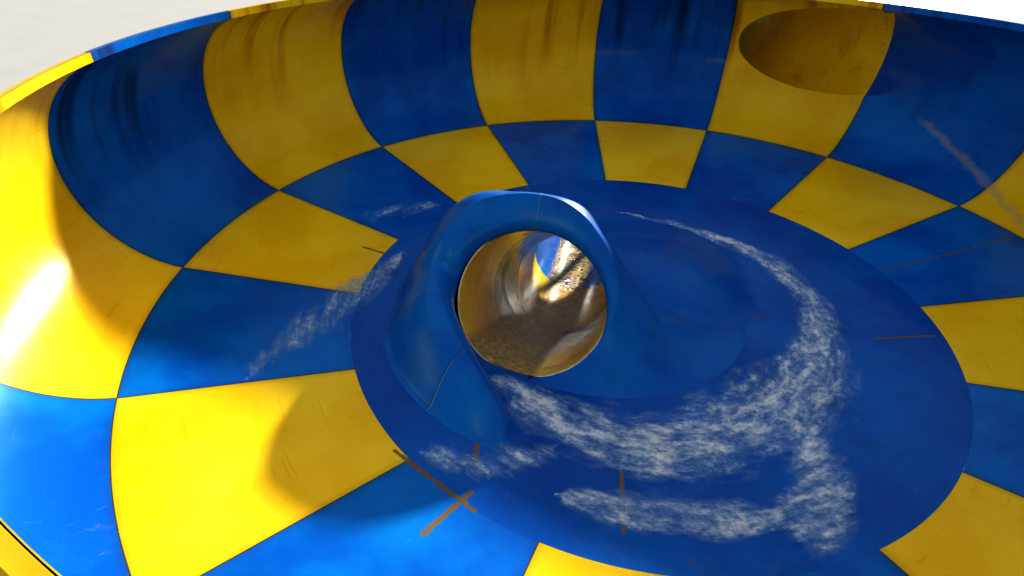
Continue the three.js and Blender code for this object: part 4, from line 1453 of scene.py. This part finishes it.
def stage_floor():
    """A plain pale floor far wider than the slide."""
    corners = np.array([[-1, -1, 0], [1, -1, 0], [1, 1, 0], [-1, 1, 0]]) * STAGE_REACH
    floor = add_mesh("stage_floor", corners, np.array([[0, 1, 2, 3]]))
    paint = Paint("stage_floor_finish", {})
    paint.tone = paint.mix(paint.noise(0.4, detail=3), (0.5, 0.5, 0.49), (0.56, 0.56, 0.55))
    floor.data.materials.append(paint.done(0.9))


def aimed(name, data, place, turn):
    """A lamp or camera in its place, turned by a quaternion."""
    holder = add_object(name, data)
    holder.location = place
    holder.rotation_mode = "QUATERNION"
    holder.rotation_quaternion = turn
    return holder


def studio():
    """A pale dome of light and one soft sun from behind the far right rim."""
    world = bpy.data.worlds.new("studio")
    world.use_nodes = True
    background = world.node_tree.nodes["Background"]
    background.inputs["Color"].default_value = (0.9, 0.93, 1.0, 1)
    background.inputs["Strength"].default_value = 0.42
    scene = bpy.context.scene
    scene.world = world
    scene.view_settings.view_transform = "Standard"
    scene.view_settings.look = "High Contrast"
    level = math.cos(SUN_RISE)
    ray = Vector((math.cos(SUN_TURN) * level, math.sin(SUN_TURN) * level, math.sin(SUN_RISE)))
    lamp = bpy.data.lights.new("sun", "SUN")
    lamp.energy = 7.0
    lamp.color = (1.0, 0.93, 0.8)
    lamp.angle = math.radians(2)
    aimed("sun", lamp, ray * 30, (-ray).to_track_quat("-Z", "Y")).visible_camera = False


def photo_camera():
    """The camera above the near rim, fitted to the ring joints and seams in the photograph."""
    camera = bpy.data.cameras.new("photo_camera")
    camera.lens = CAMERA_LENS
    camera.sensor_width = 36
    camera.clip_start = 0.05
    camera.clip_end = 500
    ahead = Vector(CAMERA_AIM).normalized()
    right = ahead.cross(Vector(CAMERA_UP)).normalized()
    turn = Matrix((right, right.cross(ahead), -ahead)).transposed()
    place = Vector(AXIS) + Vector((0, 0, COURSE_HEIGHT)) + Vector(CAMERA_PLACE)
    bpy.context.scene.camera = aimed("photo_camera", camera, place, turn.to_quaternion())


def build():
    yellow = (panel_gelcoat("yellow_panel_gelcoat", *YELLOW_PAINT, 0.9), "yellow_fibreglass")
    blue = (panel_gelcoat("blue_panel_gelcoat", *BLUE_PAINT, 0.8), "blue_fibreglass")
    yellow_tube = (tube_gelcoat("yellow_tube_gelcoat", *YELLOW_PAINT), "yellow_fibreglass")
    blue_tube = (tube_gelcoat("blue_tube_gelcoat", *BLUE_PAINT), "blue_fibreglass")
    flume = (tube_gelcoat("flume_gelcoat", *YELLOW_PAINT, BLUE), "yellow_fibreglass")
    opening = rod(in_flume, -0.5, FLUME_JOINT, FLUME_BORE + FLUME_WALL + GAP)
    bowl_panels(
        "wall_panel", wall_line(), RIM_FLANGE, 0.0, (yellow, blue), opening, FLUME_PANELS
    )
    bpy.data.objects.remove(opening)
    course = course_line()
    bowl_panels("course_panel", course, JOINT_FLANGE, -lengths_of(course)[-1], (blue, yellow))
    bowl_floor(floor_gelcoat())
    exit_cowl(cowl_gelcoat())
    mouth_bead(bead_gelcoat())
    bolts(bolt_steel())
    floor_foam(foam_finish())
    tunnel_water(water_finish())
    exit_tubes((yellow_tube, blue_tube))
    inlet_tubes((flume, blue_tube))
    steel_frames(galvanised_steel())
    stage_floor()
    studio()
    photo_camera()


build()
